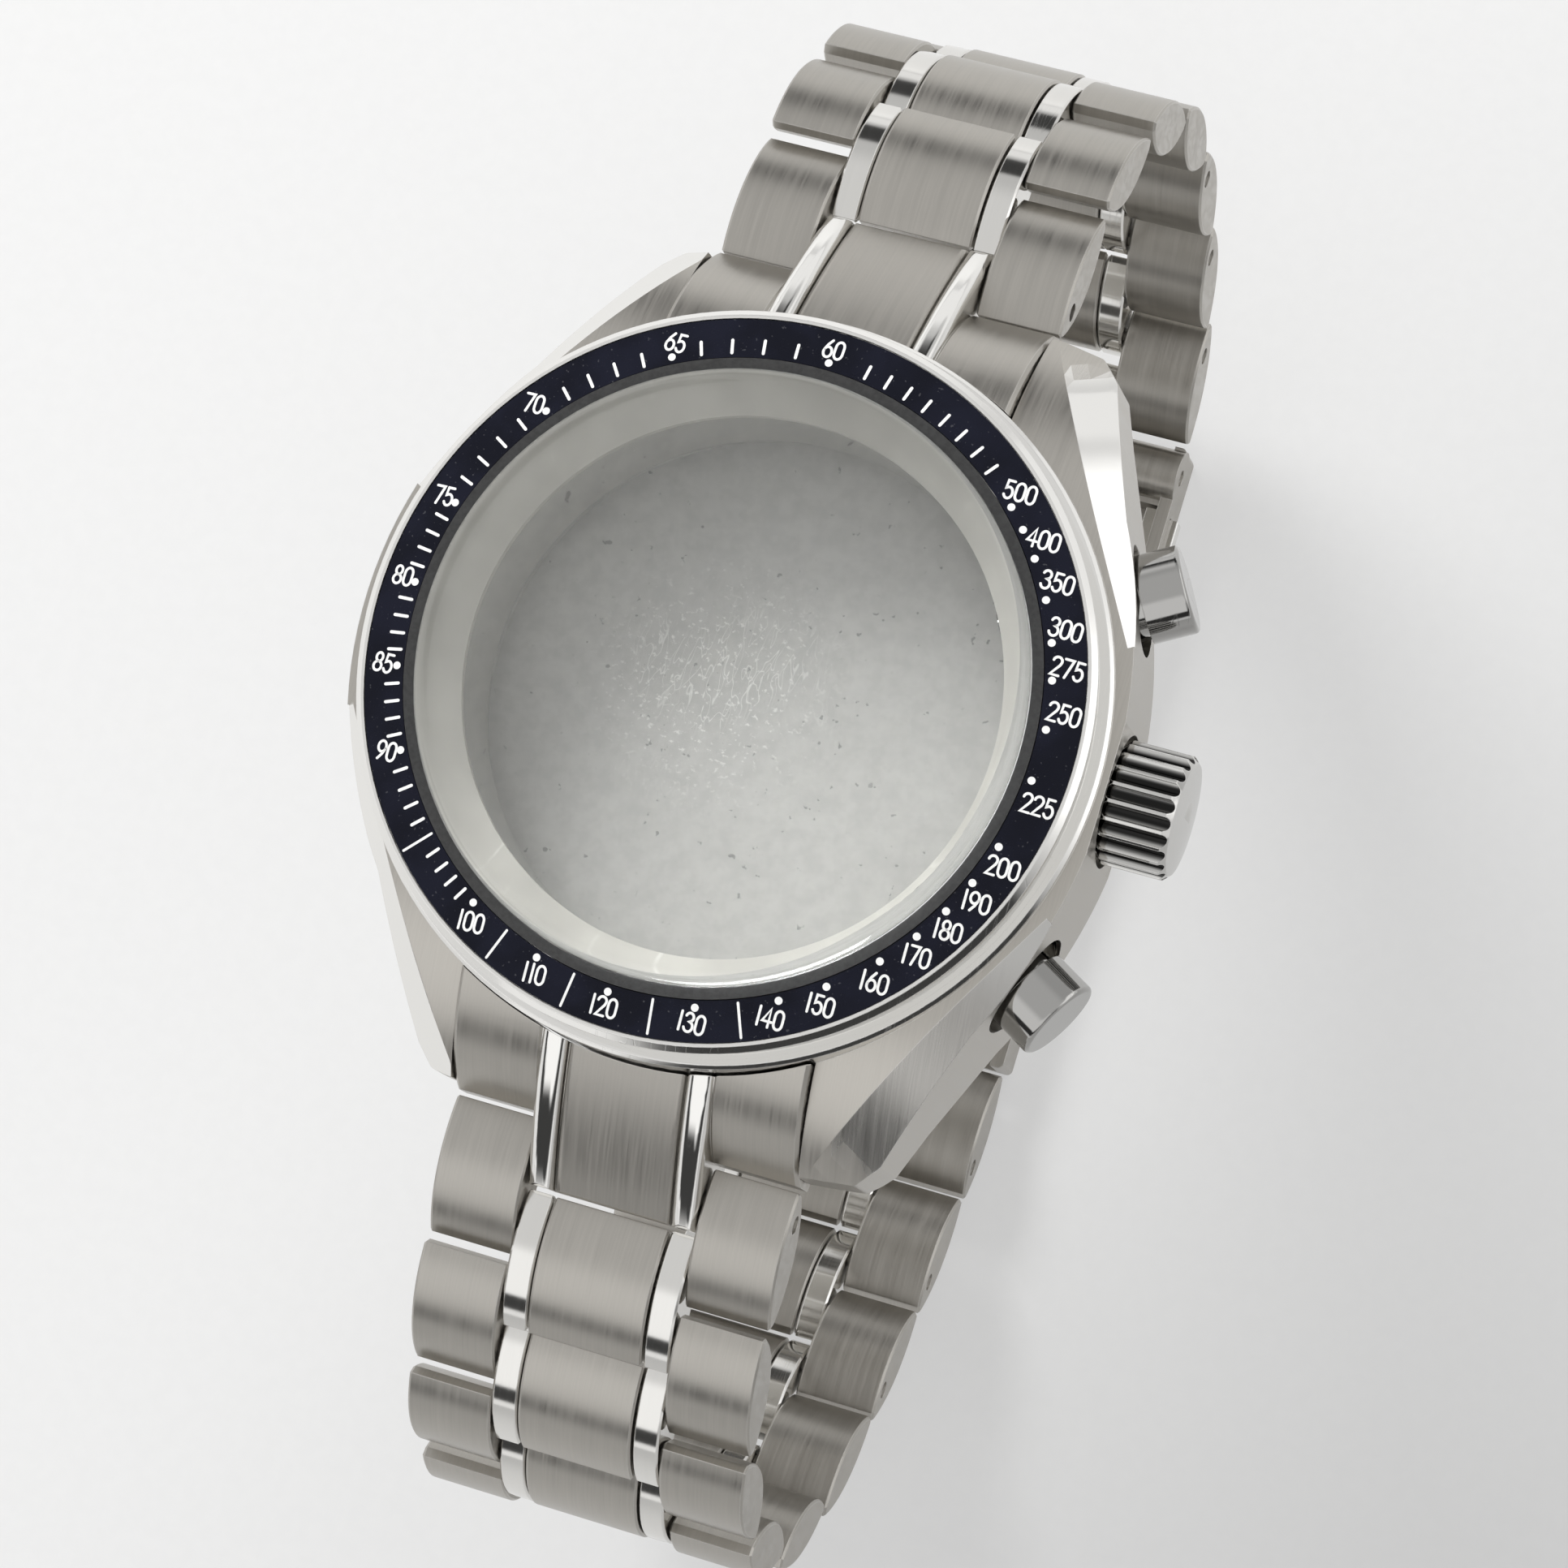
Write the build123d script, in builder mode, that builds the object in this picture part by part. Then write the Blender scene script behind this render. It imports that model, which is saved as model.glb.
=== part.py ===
from build123d import *
import os
from math import asin, cos, degrees, hypot, pi, radians, sin, sqrt

# Empty chronograph watch case on its steel bracelet, closed in a loop.
# The origin is on the dial axis, in the plane that the dial rests on.
# +X points to 3 o'clock (the crown), +Y to 12 o'clock and +Z out of the crystal.
# All sizes are in millimetres and all angles in degrees.

# Fits
press_fit = 0.02
running_fit = 0.05
side_gap = 0.1
overrun = 1.0

# Case middle, outwards from the movement and down from the dial
movement_radius = 15.0
skirt_wall = 1.9
flange_width = 1.4
case_wall = 2.2
right_flank = 0.4
left_flank = 0.6
lug_length = 3.6
shoulder_height = 0.9
bezel_seat_height = 1.3
control_depth = 3.1
tube_floor = 0.45
skirt_height = 1.2
back_thickness = 1.1
lug_drop = 0.7
lug_tip_top = 4.6
ledge_chamfer = 0.2
case_chamfer = 0.9
chamfer_arc = 64.0
right_tip_shares = ((0.622, 0.966), (0.680, 0.913), (0.842, 0.589))
right_flank_shares = ((0.942, 0.385), (1.0, 0.15))
left_tip_shares = ((0.540, 0.975), (0.582, 0.929), (0.765, 0.5975))
lug_top_shares = (0.505, 0.813, 0.37)
lug_tip_shares = ((1.0, 0.655), (0.976, 0.94), (0.938, 1.0), (0.805, 0.917))
lug_tip_fillet = 0.5

# Polished bevels of the lugs, by the ridge that they share with the brushed tops
right_ridge_shares = ((0.768, 0.577), (0.515, 0.950))
left_ridge_shares = ((0.730, 0.577), (0.479, 0.950))
right_bevel_slope = 38.0
left_bevel_slope = 48.0
ridge_points = 6
right_bevel_run = 7.5
left_bevel_run = 9.0

# Bezel, insert, crystal and rehaut
ledge_width = 0.5
bezel_height = 2.45
bezel_wall = 2.1
bezel_rim_width = 0.5
bezel_chamfer = 0.32
bezel_lip = 0.65
spigot_wall = 1.0
spigot_height = 0.6
insert_thickness = 0.5
insert_sink = 0.05
insert_rise = 0.35
gasket_width = 0.65
gasket_height = 1.25
crystal_side = 1.45
crystal_shoulder = 0.75
crystal_shoulder_width = 0.95
crystal_rise = 0.65
crystal_vault = 1.0
crystal_foot = 1.2
rehaut_height = 2.85
dial_margin = 0.3
rehaut_lip = 0.4
rehaut_lip_width = 0.9
rehaut_rim_width = 0.55

# Case back
back_flange = 0.8
back_band_width = 2.8
back_band_drop = 0.85
notch_count = 6
notch_width = 2.1
notch_length = 1.25
notch_depth = 0.55
notch_turn = 15.0
skirt_clearance = 0.3
seal_thickness = 0.6
seal_groove_width = 0.8

# Crown and its tube
crown_radius = 3.42
crown_flank_gap = 0.15
crown_length = 4.1
crown_face = 1.0
crown_dome = 0.15
crown_edge = 0.36
crown_flutes = 22
flute_radius_share = 0.86
flute_depth_share = 0.71
crown_recess_gap = 0.23
crown_recess_depth = 1.1
crown_post_radius = 0.8
crown_post_inset = 0.55
crown_tube_radius = 1.75
crown_tube_bore = 1.0
crown_tube_end_gap = 0.65
crown_seal_width = 0.6
crown_seal_length = 0.7
crown_seal_inset = 0.45

# Pushers and their tubes
pusher_angle = 29.5
pusher_radius = 2.42
pusher_flank_gap = 1.5
pusher_length = 2.5
pusher_face = 0.6
pusher_edge = 0.25
pusher_wall = 0.42
pusher_stem_reach = 0.6
pusher_clip_width = 0.6
pusher_clip_thickness = 0.3
pusher_recess_gap = 0.58
pusher_recess_depth = 0.9
pusher_tube_radius = 1.6
pusher_collar_cover = 0.5
pusher_collar_wall = 0.55
pusher_seat_depth = 2.5
spring_room = 0.7
spring_turns = 5
spring_wire = 0.22
pusher_seal_length = 0.45
tube_inset = 0.15

# Spring bars between the lugs
bar_inset = 2.5
bar_drop = 5.9
bar_radius = 0.75
bar_shoulder_gap = 0.7
bar_tip_radius = 0.45
bar_tip_length = 1.2
bar_hole_room = 0.3

# End links
pin_overhang = 1.9
pin_drop = 7.3
end_block_drop = 5.5
end_tongue_drop = 6.9
end_tongue_chin = 7.7
end_top_shares = ((0.747, 0.11), (0.896, 0.33))
tongue_top_shares = ((0.645, 0.09), (0.84, 0.44))
end_belly_shares = ((0.86, 1.07), (0.69, 1.0))
groove_depth = 0.7
rib_rise = 0.35
rib_fillet = 0.55
centre_fillet = 0.3
block_chamfer = 0.2

# Bracelet links
half_pitch = 4.0
end_gap = 0.16
link_half_width = 9.9
centre_half_width = 3.3
bar_width = 1.5
link_crown = 1.75
link_edge = 0.55
link_belly = 1.45
link_tip = 0.17
bar_sink = 0.1
link_pin_radius = 0.5
blind_wall = 1.1
pin_inset = 0.15
link_chamfer = 0.12
headings_12 = (18.0, 46.0, 72.0, 94.0, 110.0, 124.0, 150.0)
headings_6 = (20.0, 40.0, 66.0, 94.0, 120.0, 142.0, 152.0, 160.0)
open_links_12 = (1, 5, 6, 7)
open_links_6 = (1, 7, 8, 9)

# Folding clasp
cover_plate = 1.0
cover_clearance = 0.25
cover_wall = 0.8
cover_wall_rise = 0.6
cover_overhang = 1.75
cheek_run = 2.0
cover_fillet = 0.35
blade_thickness = 0.75
blade_start = 2.6
blade_side_room = 2.3
blade_step = 0.3
blade_floor_gap = 0.25
inner_blade_lift = 0.15
fold_inset = 4.6
fold_radius = 0.8
fold_drop = 0.45
fold_floor_gap = 0.15
cover_fold_radius = 0.75
fold_pin_radius = 0.4
blade_knuckle_radius = 1.25
button_length = 4.0
button_height = 1.2
button_rise = 0.55
button_foot = 0.7
button_foot_margin = 0.4

# Places that follow from these sizes: radii of the case
back_thread_radius = movement_radius + skirt_wall
back_radius = back_thread_radius + flange_width
back_disc_radius = back_radius - back_band_width
seal_radius = (back_thread_radius + back_radius) / 2
ledge_radius = back_radius + case_wall
case_right = ledge_radius + right_flank
case_left = ledge_radius + left_flank
lug_reach = ledge_radius + lug_length
bezel_radius = ledge_radius - ledge_width
spigot_radius = bezel_radius - bezel_wall
bezel_bore = spigot_radius - bezel_lip
crystal_radius = bezel_bore - gasket_width
rehaut_radius = spigot_radius - spigot_wall
rehaut_opening = movement_radius - dial_margin

# Heights of the case
movement_height = control_depth + crown_tube_radius + tube_floor
back_skirt_top = movement_height + side_gap
back_floor = back_skirt_top + skirt_height
case_depth = back_floor + back_thickness
lug_depth = case_depth + lug_drop
bezel_top = bezel_seat_height + bezel_height
insert_edge_height = bezel_top - insert_sink
crystal_seat = rehaut_height
crystal_top = crystal_seat + crystal_side + crystal_shoulder + crystal_rise
seat_offset = Plane.XY.offset(bezel_seat_height)

# Crown, outwards from the case
crown_start = ledge_radius + crown_flank_gap
crown_end = crown_start + crown_length
crown_cavity_depth = crown_length - crown_face
crown_cavity_radius = crown_tube_radius + crown_seal_width
crown_recess_radius = crown_radius + crown_recess_gap
crown_recess_floor = ledge_radius - crown_recess_depth
crown_post_start = crown_start + crown_post_inset
crown_tube_end = crown_start + crown_cavity_depth - crown_tube_end_gap
crown_seal_start = crown_start + crown_seal_inset
flute_radius = flute_radius_share * pi * crown_radius / crown_flutes
flute_depth = flute_depth_share * flute_radius

# Pushers, outwards from the case and inwards from the cap
pusher_start = ledge_radius + pusher_flank_gap
pusher_end = pusher_start + pusher_length
pusher_cavity_depth = pusher_length - pusher_face
pusher_recess_radius = pusher_radius + pusher_recess_gap
pusher_recess_floor = ledge_radius - pusher_recess_depth
pusher_collar_radius = pusher_radius - pusher_wall - running_fit
pusher_collar_end = pusher_start + pusher_collar_cover
pusher_seat_radius = pusher_collar_radius - pusher_collar_wall
pusher_stem_radius = pusher_seat_radius - spring_room
pusher_stem_start = movement_radius - pusher_stem_reach
pusher_clip_radius = pusher_stem_radius + pusher_clip_width

# Lugs, spring bars and end links, which follow the bracelet's width and pitch
lug_gap = 2 * (link_half_width + side_gap)
bar_reach = lug_reach - bar_inset
bar_body_half = lug_gap / 2 - bar_shoulder_gap
bar_tip_reach = lug_gap / 2 + bar_tip_length
bar_hole_reach = bar_tip_reach + bar_hole_room
pin_reach = lug_reach + pin_overhang
end_tongue_reach = pin_reach + half_pitch / 2 - side_gap

# Links and clasp
pitch = 2 * half_pitch
link_half_length = half_pitch - end_gap / 2
outer_inner_half = centre_half_width + bar_width + 2 * side_gap
outer_width = link_half_width - outer_inner_half
cover_drop = link_crown + cover_clearance
outer_blade_drop = cover_drop - blade_floor_gap
cover_fold_drop = cover_drop - cover_fold_radius - fold_floor_gap
inner_blade_half = link_half_width - blade_side_room
outer_blade_half = inner_blade_half - blade_step
fold_split = outer_inner_half
button_reach = link_half_width + button_rise
button_foot_reach = link_half_width - cover_wall - side_gap


def circle_through(a, b, c):
    """Centre and radius of the circle through three points."""
    (ax, ay), (bx, by), (cx, cy) = a, b, c
    d = 2 * (ax * (by - cy) + bx * (cy - ay) + cx * (ay - by))
    sa, sb, sc = ax * ax + ay * ay, bx * bx + by * by, cx * cx + cy * cy
    x = (sa * (by - cy) + sb * (cy - ay) + sc * (ay - by)) / d
    y = (sa * (cx - bx) + sb * (ax - cx) + sc * (bx - ax)) / d
    return (x, y), hypot(ax - x, ay - y)


def dome_middle(half_chord, rise):
    """How far a dome has fallen from its top, half way out to its edge."""
    radius = (half_chord ** 2 + rise ** 2) / (2 * rise)
    return radius - sqrt(radius ** 2 - (half_chord / 2) ** 2)


def lug_top_points():
    """Start, middle and end of the arc that the lug tops follow, seen from the side."""
    start_share, middle_share, drop_share = lug_top_shares
    start = (start_share * lug_reach, shoulder_height)
    middle = (middle_share * lug_reach, shoulder_height - drop_share * (lug_tip_top + shoulder_height))
    return start, middle, (lug_reach, -lug_tip_top)


def lug_top(y):
    """Height of the lug tops at a distance from the dial axis along Y."""
    (cy, cz), radius = circle_through(*lug_top_points())
    return cz + sqrt(radius * radius - (y - cy) ** 2)


def half_plane(angle):
    """Plane that holds the dial axis, turned by an angle from +X."""
    a = radians(angle)
    return Plane((0, 0, 0), x_dir=(cos(a), sin(a), 0), z_dir=(sin(a), -cos(a), 0))


def turn(points, mode=Mode.ADD):
    """Turned shape about the dial axis, from its half section in radius and height."""
    with BuildSketch(Plane.XZ) as section:
        with BuildLine():
            Polyline(*points, close=True)
        make_face()
    revolve(section.sketch, axis=Axis.Z, mode=mode)


def side_points(shares, width):
    """Outline points as real places, from shares of a half width and of the lugs' reach."""
    return [(sx * width, sy * lug_reach) for sx, sy in shares]


def case_outline():
    """Top view of the case middle with its four lugs."""
    tip_r, corner_r, root_r = side_points(right_tip_shares, case_right)
    bend_r, flank_r = side_points(right_flank_shares, case_right)
    tip_l, corner_l, root_l = side_points(left_tip_shares, case_left)
    half_gap = lug_gap / 2
    inner = tip_r[1] + (lug_reach - tip_r[1]) / 2

    def low(point):
        return (point[0], -point[1])

    def left(point):
        return (-point[0], point[1])

    with BuildLine() as outline:
        Polyline((0, inner), (half_gap, inner), tip_r, corner_r, root_r)
        ThreePointArc(root_r, bend_r, flank_r)
        Line(flank_r, low(flank_r))
        ThreePointArc(low(flank_r), low(bend_r), low(root_r))
        Polyline(low(root_r), low(corner_r), low(tip_r), (half_gap, -inner), (-half_gap, -inner),
                 left(low(tip_l)), left(low(corner_l)), left(low(root_l)))
        ThreePointArc(left(low(root_l)), (-case_left, 0), left(root_l))
        Polyline(left(root_l), left(corner_l), left(tip_l), (-half_gap, inner), (0, inner))
    make_face(outline.edges())


def lug_side_face(side):
    """Side view of the case middle on one side of the crown's axis."""
    start, middle, end = lug_top_points()
    tip, chin, foot, heel = [(sy * lug_reach, -sz * lug_depth) for sy, sz in lug_tip_shares]
    with BuildLine() as outline:
        Line((0, shoulder_height), (side * start[0], start[1]))
        ThreePointArc(*[(side * y, z) for y, z in (start, middle, end)])
        Polyline(*[(side * y, z) for y, z in (end, tip, chin, foot, heel, (heel[0], -case_depth))],
                 (0, -case_depth), (0, shoulder_height))
    make_face(outline.edges())


def bevel_cutter(ridge_shares, width, slope, run, hand):
    """What is cut away outside one ridge, above the bevel that falls from it."""
    (x2, y2), (x1, y1) = side_points(ridge_shares, width)
    length = hypot(x1 - x2, y1 - y2)
    along = Vector(hand * (x1 - x2), y1 - y2, 0) / length
    out = Vector(hand * (y1 - y2), -(x1 - x2), 0) / length
    fall = out * cos(radians(slope)) - Vector(0, 0, sin(radians(slope)))
    start = Vector(hand * x2, y2, 0) - fall * (2 * overrun)
    flat_end = (lug_top_points()[0][0] - y2) * length / (y1 - y2)
    # the ridge follows the lug's curved top, and runs level past its start
    ridge = [(flat_end + i * (length - flat_end) / ridge_points) for i in range(ridge_points + 1)]
    heights = [lug_top(y2 + u * (y1 - y2) / length) for u in ridge]
    points = list(zip(ridge, heights))
    tail = length + 2 * overrun
    last_slope = (heights[-1] - heights[-2]) / (ridge[-1] - ridge[-2])
    ceiling = crystal_top
    with BuildSketch(Plane(start, x_dir=along, z_dir=out * hand)) as above:
        with BuildLine():
            Polyline((tail, heights[-1] + last_slope * (tail - length)), (tail, ceiling), (-run, ceiling),
                     (-run, shoulder_height), points[0])
            Spline(*points)
            Line(points[-1], (tail, heights[-1] + last_slope * (tail - length)))
        make_face()
    return extrude(above.sketch, amount=lug_gap, dir=fall, mode=Mode.PRIVATE)


def control_plane(angle, distance):
    """Plane square to a crown or pusher, at a distance from the dial axis."""
    out = Vector(cos(radians(angle)), sin(radians(angle)), 0)
    return Plane(out * distance - Vector(0, 0, control_depth), x_dir=(0, 0, 1), z_dir=out)


def round_cut(angle, start, end, radius):
    """Round hole or recess along a crown or pusher."""
    with BuildSketch(control_plane(angle, start)) as section:
        Circle(radius)
    extrude(section.sketch, amount=end - start, mode=Mode.SUBTRACT)


def round_add(angle, start, end, radius, bore=0):
    """Round length of a crown, pusher or tube."""
    with BuildSketch(control_plane(angle, start)) as section:
        Circle(radius)
        if bore:
            Circle(bore, mode=Mode.SUBTRACT)
    extrude(section.sketch, amount=end - start)


def make_case_middle():
    cut_reach = case_left + 2 * overrun
    with BuildPart() as case_middle:
        with BuildSketch(Plane.XY.offset(-lug_depth)):
            case_outline()
        extrude(amount=lug_depth + shoulder_height)
        tip_start = right_tip_shares[1][1] * lug_reach - lug_tip_fillet
        tips = case_middle.edges().filter_by(Axis.Z).filter_by(lambda edge: abs(edge.center().Y) > tip_start)
        outside = lug_gap / 2 + lug_tip_fillet
        fillet(tips.filter_by(lambda edge: abs(edge.center().X) > outside), lug_tip_fillet)
        with BuildSketch(Plane.YZ):
            lug_side_face(1)
            lug_side_face(-1)
        extrude(amount=case_left + overrun, both=True, mode=Mode.INTERSECT)
        # space between the lugs
        gap_centre = lug_reach
        with BuildSketch(Plane.XY.offset(-lug_depth - overrun)):
            with Locations((0, gap_centre), (0, -gap_centre)):
                Rectangle(lug_gap, lug_gap)
        extrude(amount=lug_depth + shoulder_height + 2 * overrun, mode=Mode.SUBTRACT)
        # polished bevels outside the ridges
        for shares, width, slope, run, hand in (
            (right_ridge_shares, case_right, right_bevel_slope, right_bevel_run, 1),
            (left_ridge_shares, case_left, left_bevel_slope, left_bevel_run, -1),
        ):
            cutter = bevel_cutter(shares, width, slope, run, hand)
            add(cutter, mode=Mode.SUBTRACT)
            mirror(cutter, about=Plane.XZ, mode=Mode.SUBTRACT)
        # round body with the ledge and the spigot that the bezel presses on
        with BuildSketch(Plane.XY.offset(-case_depth)):
            Circle(ledge_radius)
        extrude(amount=case_depth + bezel_seat_height)
        chamfer(case_middle.edges().filter_by(GeomType.CIRCLE).group_by(Axis.Z)[-1], ledge_chamfer)
        with BuildSketch(seat_offset):
            Circle(spigot_radius)
        extrude(amount=spigot_height)
        # stepped bore for the rehaut, the movement and the case back
        top = bezel_seat_height + spigot_height + overrun
        bottom = -case_depth - overrun
        rehaut_bore = rehaut_radius + running_fit
        thread_bore = back_thread_radius + running_fit
        flange_bore = back_radius + side_gap
        turn([
            (0, top), (rehaut_bore, top), (rehaut_bore, 0), (movement_radius, 0),
            (movement_radius, -movement_height), (thread_bore, -movement_height),
            (thread_bore, back_flange - case_depth), (flange_bore, back_flange - case_depth),
            (flange_bore, bottom), (0, bottom),
        ], Mode.SUBTRACT)
        # chamfer under each flank
        for middle in (0, 180):
            with BuildSketch(half_plane(middle - chamfer_arc / 2)):
                with BuildLine():
                    rim = back_radius + case_chamfer
                    Polyline((rim, -case_depth - overrun), (rim, -case_depth),
                             (cut_reach, (cut_reach - rim) / 2 - case_depth),
                             (cut_reach, -case_depth - overrun), close=True)
                make_face()
            revolve(axis=Axis.Z, revolution_arc=chamfer_arc, mode=Mode.SUBTRACT)
        # recesses and holes of the crown and the pushers
        reach = pusher_end + 2 * overrun
        round_cut(0, crown_recess_floor, reach, crown_recess_radius)
        round_cut(0, movement_radius - overrun, reach, crown_tube_radius + press_fit)
        for angle in (pusher_angle, -pusher_angle):
            round_cut(angle, pusher_recess_floor, reach, pusher_recess_radius)
            round_cut(angle, movement_radius - overrun, reach, pusher_tube_radius + press_fit)
        # spring bar holes in the lugs
        with BuildSketch(Plane.YZ.offset(-bar_hole_reach)):
            with Locations((bar_reach, -bar_drop), (-bar_reach, -bar_drop)):
                Circle(bar_tip_radius + running_fit)
        extrude(amount=2 * bar_hole_reach, mode=Mode.SUBTRACT)
    case_middle.part.label = "case_middle"
    return case_middle.part


def make_bezel():
    recess = bezel_radius - bezel_rim_width
    seat_outer = insert_edge_height - insert_thickness
    with BuildPart() as bezel:
        turn([
            (spigot_radius + press_fit, bezel_seat_height),
            (bezel_radius, bezel_seat_height),
            (bezel_radius, bezel_top - bezel_chamfer),
            (bezel_radius - bezel_chamfer, bezel_top),
            (recess, bezel_top),
            (recess, seat_outer),
            (bezel_bore, seat_outer + insert_rise),
            (bezel_bore, bezel_seat_height + spigot_height + running_fit),
            (spigot_radius + press_fit, bezel_seat_height + spigot_height + running_fit),
        ])
    bezel.part.label = "bezel"
    return bezel.part


def make_bezel_insert():
    outer = bezel_radius - bezel_rim_width - running_fit
    inner = bezel_bore + press_fit
    floor = insert_edge_height - insert_thickness + press_fit
    with BuildPart() as bezel_insert:
        turn([
            (outer, insert_edge_height), (inner, insert_edge_height + insert_rise),
            (inner, floor + insert_rise), (outer, floor),
        ])
    bezel_insert.part.label = "bezel_insert"
    return bezel_insert.part


def make_crystal():
    shoulder = crystal_seat + crystal_side
    vault_radius = crystal_radius - crystal_foot
    with BuildPart() as crystal:
        with BuildSketch(Plane.XZ):
            with BuildLine():
                Polyline((vault_radius, crystal_seat), (crystal_radius, crystal_seat),
                         (crystal_radius, shoulder))
                edge = (crystal_radius - crystal_shoulder_width, shoulder + crystal_shoulder)
                bulge = (crystal_radius - crystal_shoulder_width * (1 - cos(pi / 4)),
                         shoulder + crystal_shoulder * sin(pi / 4))
                ThreePointArc((crystal_radius, shoulder), bulge, edge)
                dome_mid = (edge[0] / 2, crystal_top - dome_middle(edge[0], crystal_top - edge[1]))
                ThreePointArc(edge, dome_mid, (0, crystal_top))
                Line((0, crystal_top), (0, crystal_seat + crystal_vault))
                vault_mid = (vault_radius / 2, crystal_seat + crystal_vault
                             - dome_middle(vault_radius, crystal_vault))
                ThreePointArc((0, crystal_seat + crystal_vault), vault_mid, (vault_radius, crystal_seat))
            make_face()
        revolve(axis=Axis.Z)
    crystal.part.label = "crystal"
    return crystal.part


def make_crystal_gasket():
    inner = crystal_radius + press_fit
    outer = bezel_bore - press_fit
    with BuildPart() as crystal_gasket:
        turn([
            (inner, crystal_seat), (outer, crystal_seat),
            (outer, crystal_seat + gasket_height), (inner, crystal_seat + gasket_height),
        ])
    crystal_gasket.part.label = "crystal_gasket"
    return crystal_gasket.part


def make_rehaut_ring():
    lip_outer = rehaut_opening + rehaut_lip_width
    with BuildPart() as rehaut_ring:
        turn([
            (lip_outer, 0), (rehaut_radius, 0), (rehaut_radius, crystal_seat),
            (rehaut_radius - rehaut_rim_width, crystal_seat),
            (rehaut_opening, 2 * rehaut_lip), (rehaut_opening, rehaut_lip), (lip_outer, rehaut_lip),
        ])
    rehaut_ring.part.label = "rehaut_ring"
    return rehaut_ring.part


def make_case_back():
    seat = back_flange - case_depth
    disc = -case_depth - back_band_drop
    band_middle = (back_disc_radius + back_radius) / 2
    skirt_bore = movement_radius + skirt_clearance
    groove_inner = seal_radius - seal_groove_width / 2
    groove_outer = seal_radius + seal_groove_width / 2
    with BuildPart() as case_back:
        turn([
            (0, disc), (back_disc_radius, disc), (back_radius, -case_depth), (back_radius, seat),
            (back_thread_radius, seat), (back_thread_radius, -back_skirt_top),
            (skirt_bore, -back_skirt_top), (skirt_bore, -back_floor), (0, -back_floor),
        ])
        # groove for the seal under the flange
        turn([
            (groove_inner, seat + overrun), (groove_outer, seat + overrun),
            (groove_outer, seat - seal_thickness), (groove_inner, seat - seal_thickness),
        ], Mode.SUBTRACT)
        # notches for the opening tool
        with BuildSketch(Plane.XY.offset(disc)):
            with PolarLocations(band_middle, notch_count, start_angle=notch_turn):
                Rectangle(notch_length, notch_width)
        extrude(amount=notch_depth, mode=Mode.SUBTRACT)
    case_back.part.label = "case_back"
    return case_back.part


def make_case_back_gasket():
    half = seal_thickness / 2
    height = back_flange - case_depth - half
    with BuildPart() as case_back_gasket:
        with BuildSketch(Plane.XZ):
            with Locations((seal_radius, height)):
                Circle(half - press_fit / 2)
        revolve(axis=Axis.Z)
    case_back_gasket.part.label = "case_back_gasket"
    return case_back_gasket.part


def make_crown():
    with BuildPart() as crown:
        round_add(0, crown_start, crown_end - crown_dome, crown_radius)
        chamfer(crown.edges().filter_by(GeomType.CIRCLE), crown_edge)
        # slightly domed end
        face_radius = crown_radius - crown_edge
        with BuildSketch(Plane.XZ):
            with BuildLine():
                end = crown_end - crown_dome
                Polyline((crown_end, -control_depth), (end, -control_depth),
                         (end, face_radius - control_depth))
                ThreePointArc((end, face_radius - control_depth),
                              (crown_end - dome_middle(face_radius, crown_dome), face_radius / 2 - control_depth),
                              (crown_end, -control_depth))
            make_face()
        revolve(axis=Axis((0, 0, -control_depth), (1, 0, 0)))
        # flutes, which run out in the chamfers of both ends
        with BuildSketch(control_plane(0, crown_start - overrun)):
            with PolarLocations(crown_radius + flute_radius - flute_depth, crown_flutes):
                Circle(flute_radius)
        extrude(amount=crown_end - crown_start + 2 * overrun, mode=Mode.SUBTRACT)
        # cavity round the tube, with the post in its middle
        with BuildSketch(control_plane(0, crown_start - overrun)):
            Circle(crown_cavity_radius)
            Circle(crown_post_radius, mode=Mode.SUBTRACT)
        extrude(amount=crown_cavity_depth + overrun, mode=Mode.SUBTRACT)
        round_cut(0, crown_start - overrun, crown_post_start, crown_post_radius + press_fit)
    crown.part.label = "crown"
    return crown.part


def make_crown_tube():
    with BuildPart() as crown_tube:
        round_add(0, movement_radius + tube_inset, crown_tube_end, crown_tube_radius, crown_tube_bore)
    crown_tube.part.label = "crown_tube"
    return crown_tube.part


def make_crown_gasket():
    with BuildPart() as crown_gasket:
        round_add(0, crown_seal_start, crown_seal_start + crown_seal_length,
                  crown_cavity_radius - running_fit, crown_tube_radius + running_fit)
    crown_gasket.part.label = "crown_gasket"
    return crown_gasket.part


def make_pusher(angle, name):
    with BuildPart() as pusher:
        round_add(angle, pusher_start, pusher_end, pusher_radius)
        ends = pusher.edges().filter_by(GeomType.CIRCLE).sort_by_distance((0, 0, -control_depth))
        fillet(ends[-1], pusher_edge)
        with BuildSketch(control_plane(angle, pusher_start)):
            Circle(pusher_collar_radius + running_fit)
        extrude(amount=pusher_cavity_depth, mode=Mode.SUBTRACT)
        round_add(angle, pusher_stem_start, pusher_start + pusher_cavity_depth, pusher_stem_radius)
        # clip that keeps the stem in the case
        round_add(angle, pusher_stem_start, pusher_stem_start + pusher_clip_thickness,
                  pusher_clip_radius, pusher_stem_radius + press_fit)
    pusher.part.label = name
    return pusher.part


def make_pusher_tube(angle, name):
    with BuildPart() as pusher_tube:
        round_add(angle, movement_radius + tube_inset, pusher_recess_floor, pusher_tube_radius)
        round_add(angle, pusher_recess_floor, pusher_collar_end, pusher_collar_radius)
        round_cut(angle, movement_radius, pusher_collar_end + overrun, pusher_stem_radius + running_fit)
        round_cut(angle, pusher_collar_end - pusher_seat_depth, pusher_collar_end + overrun,
                  pusher_seat_radius)
    pusher_tube.part.label = name
    return pusher_tube.part


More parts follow.
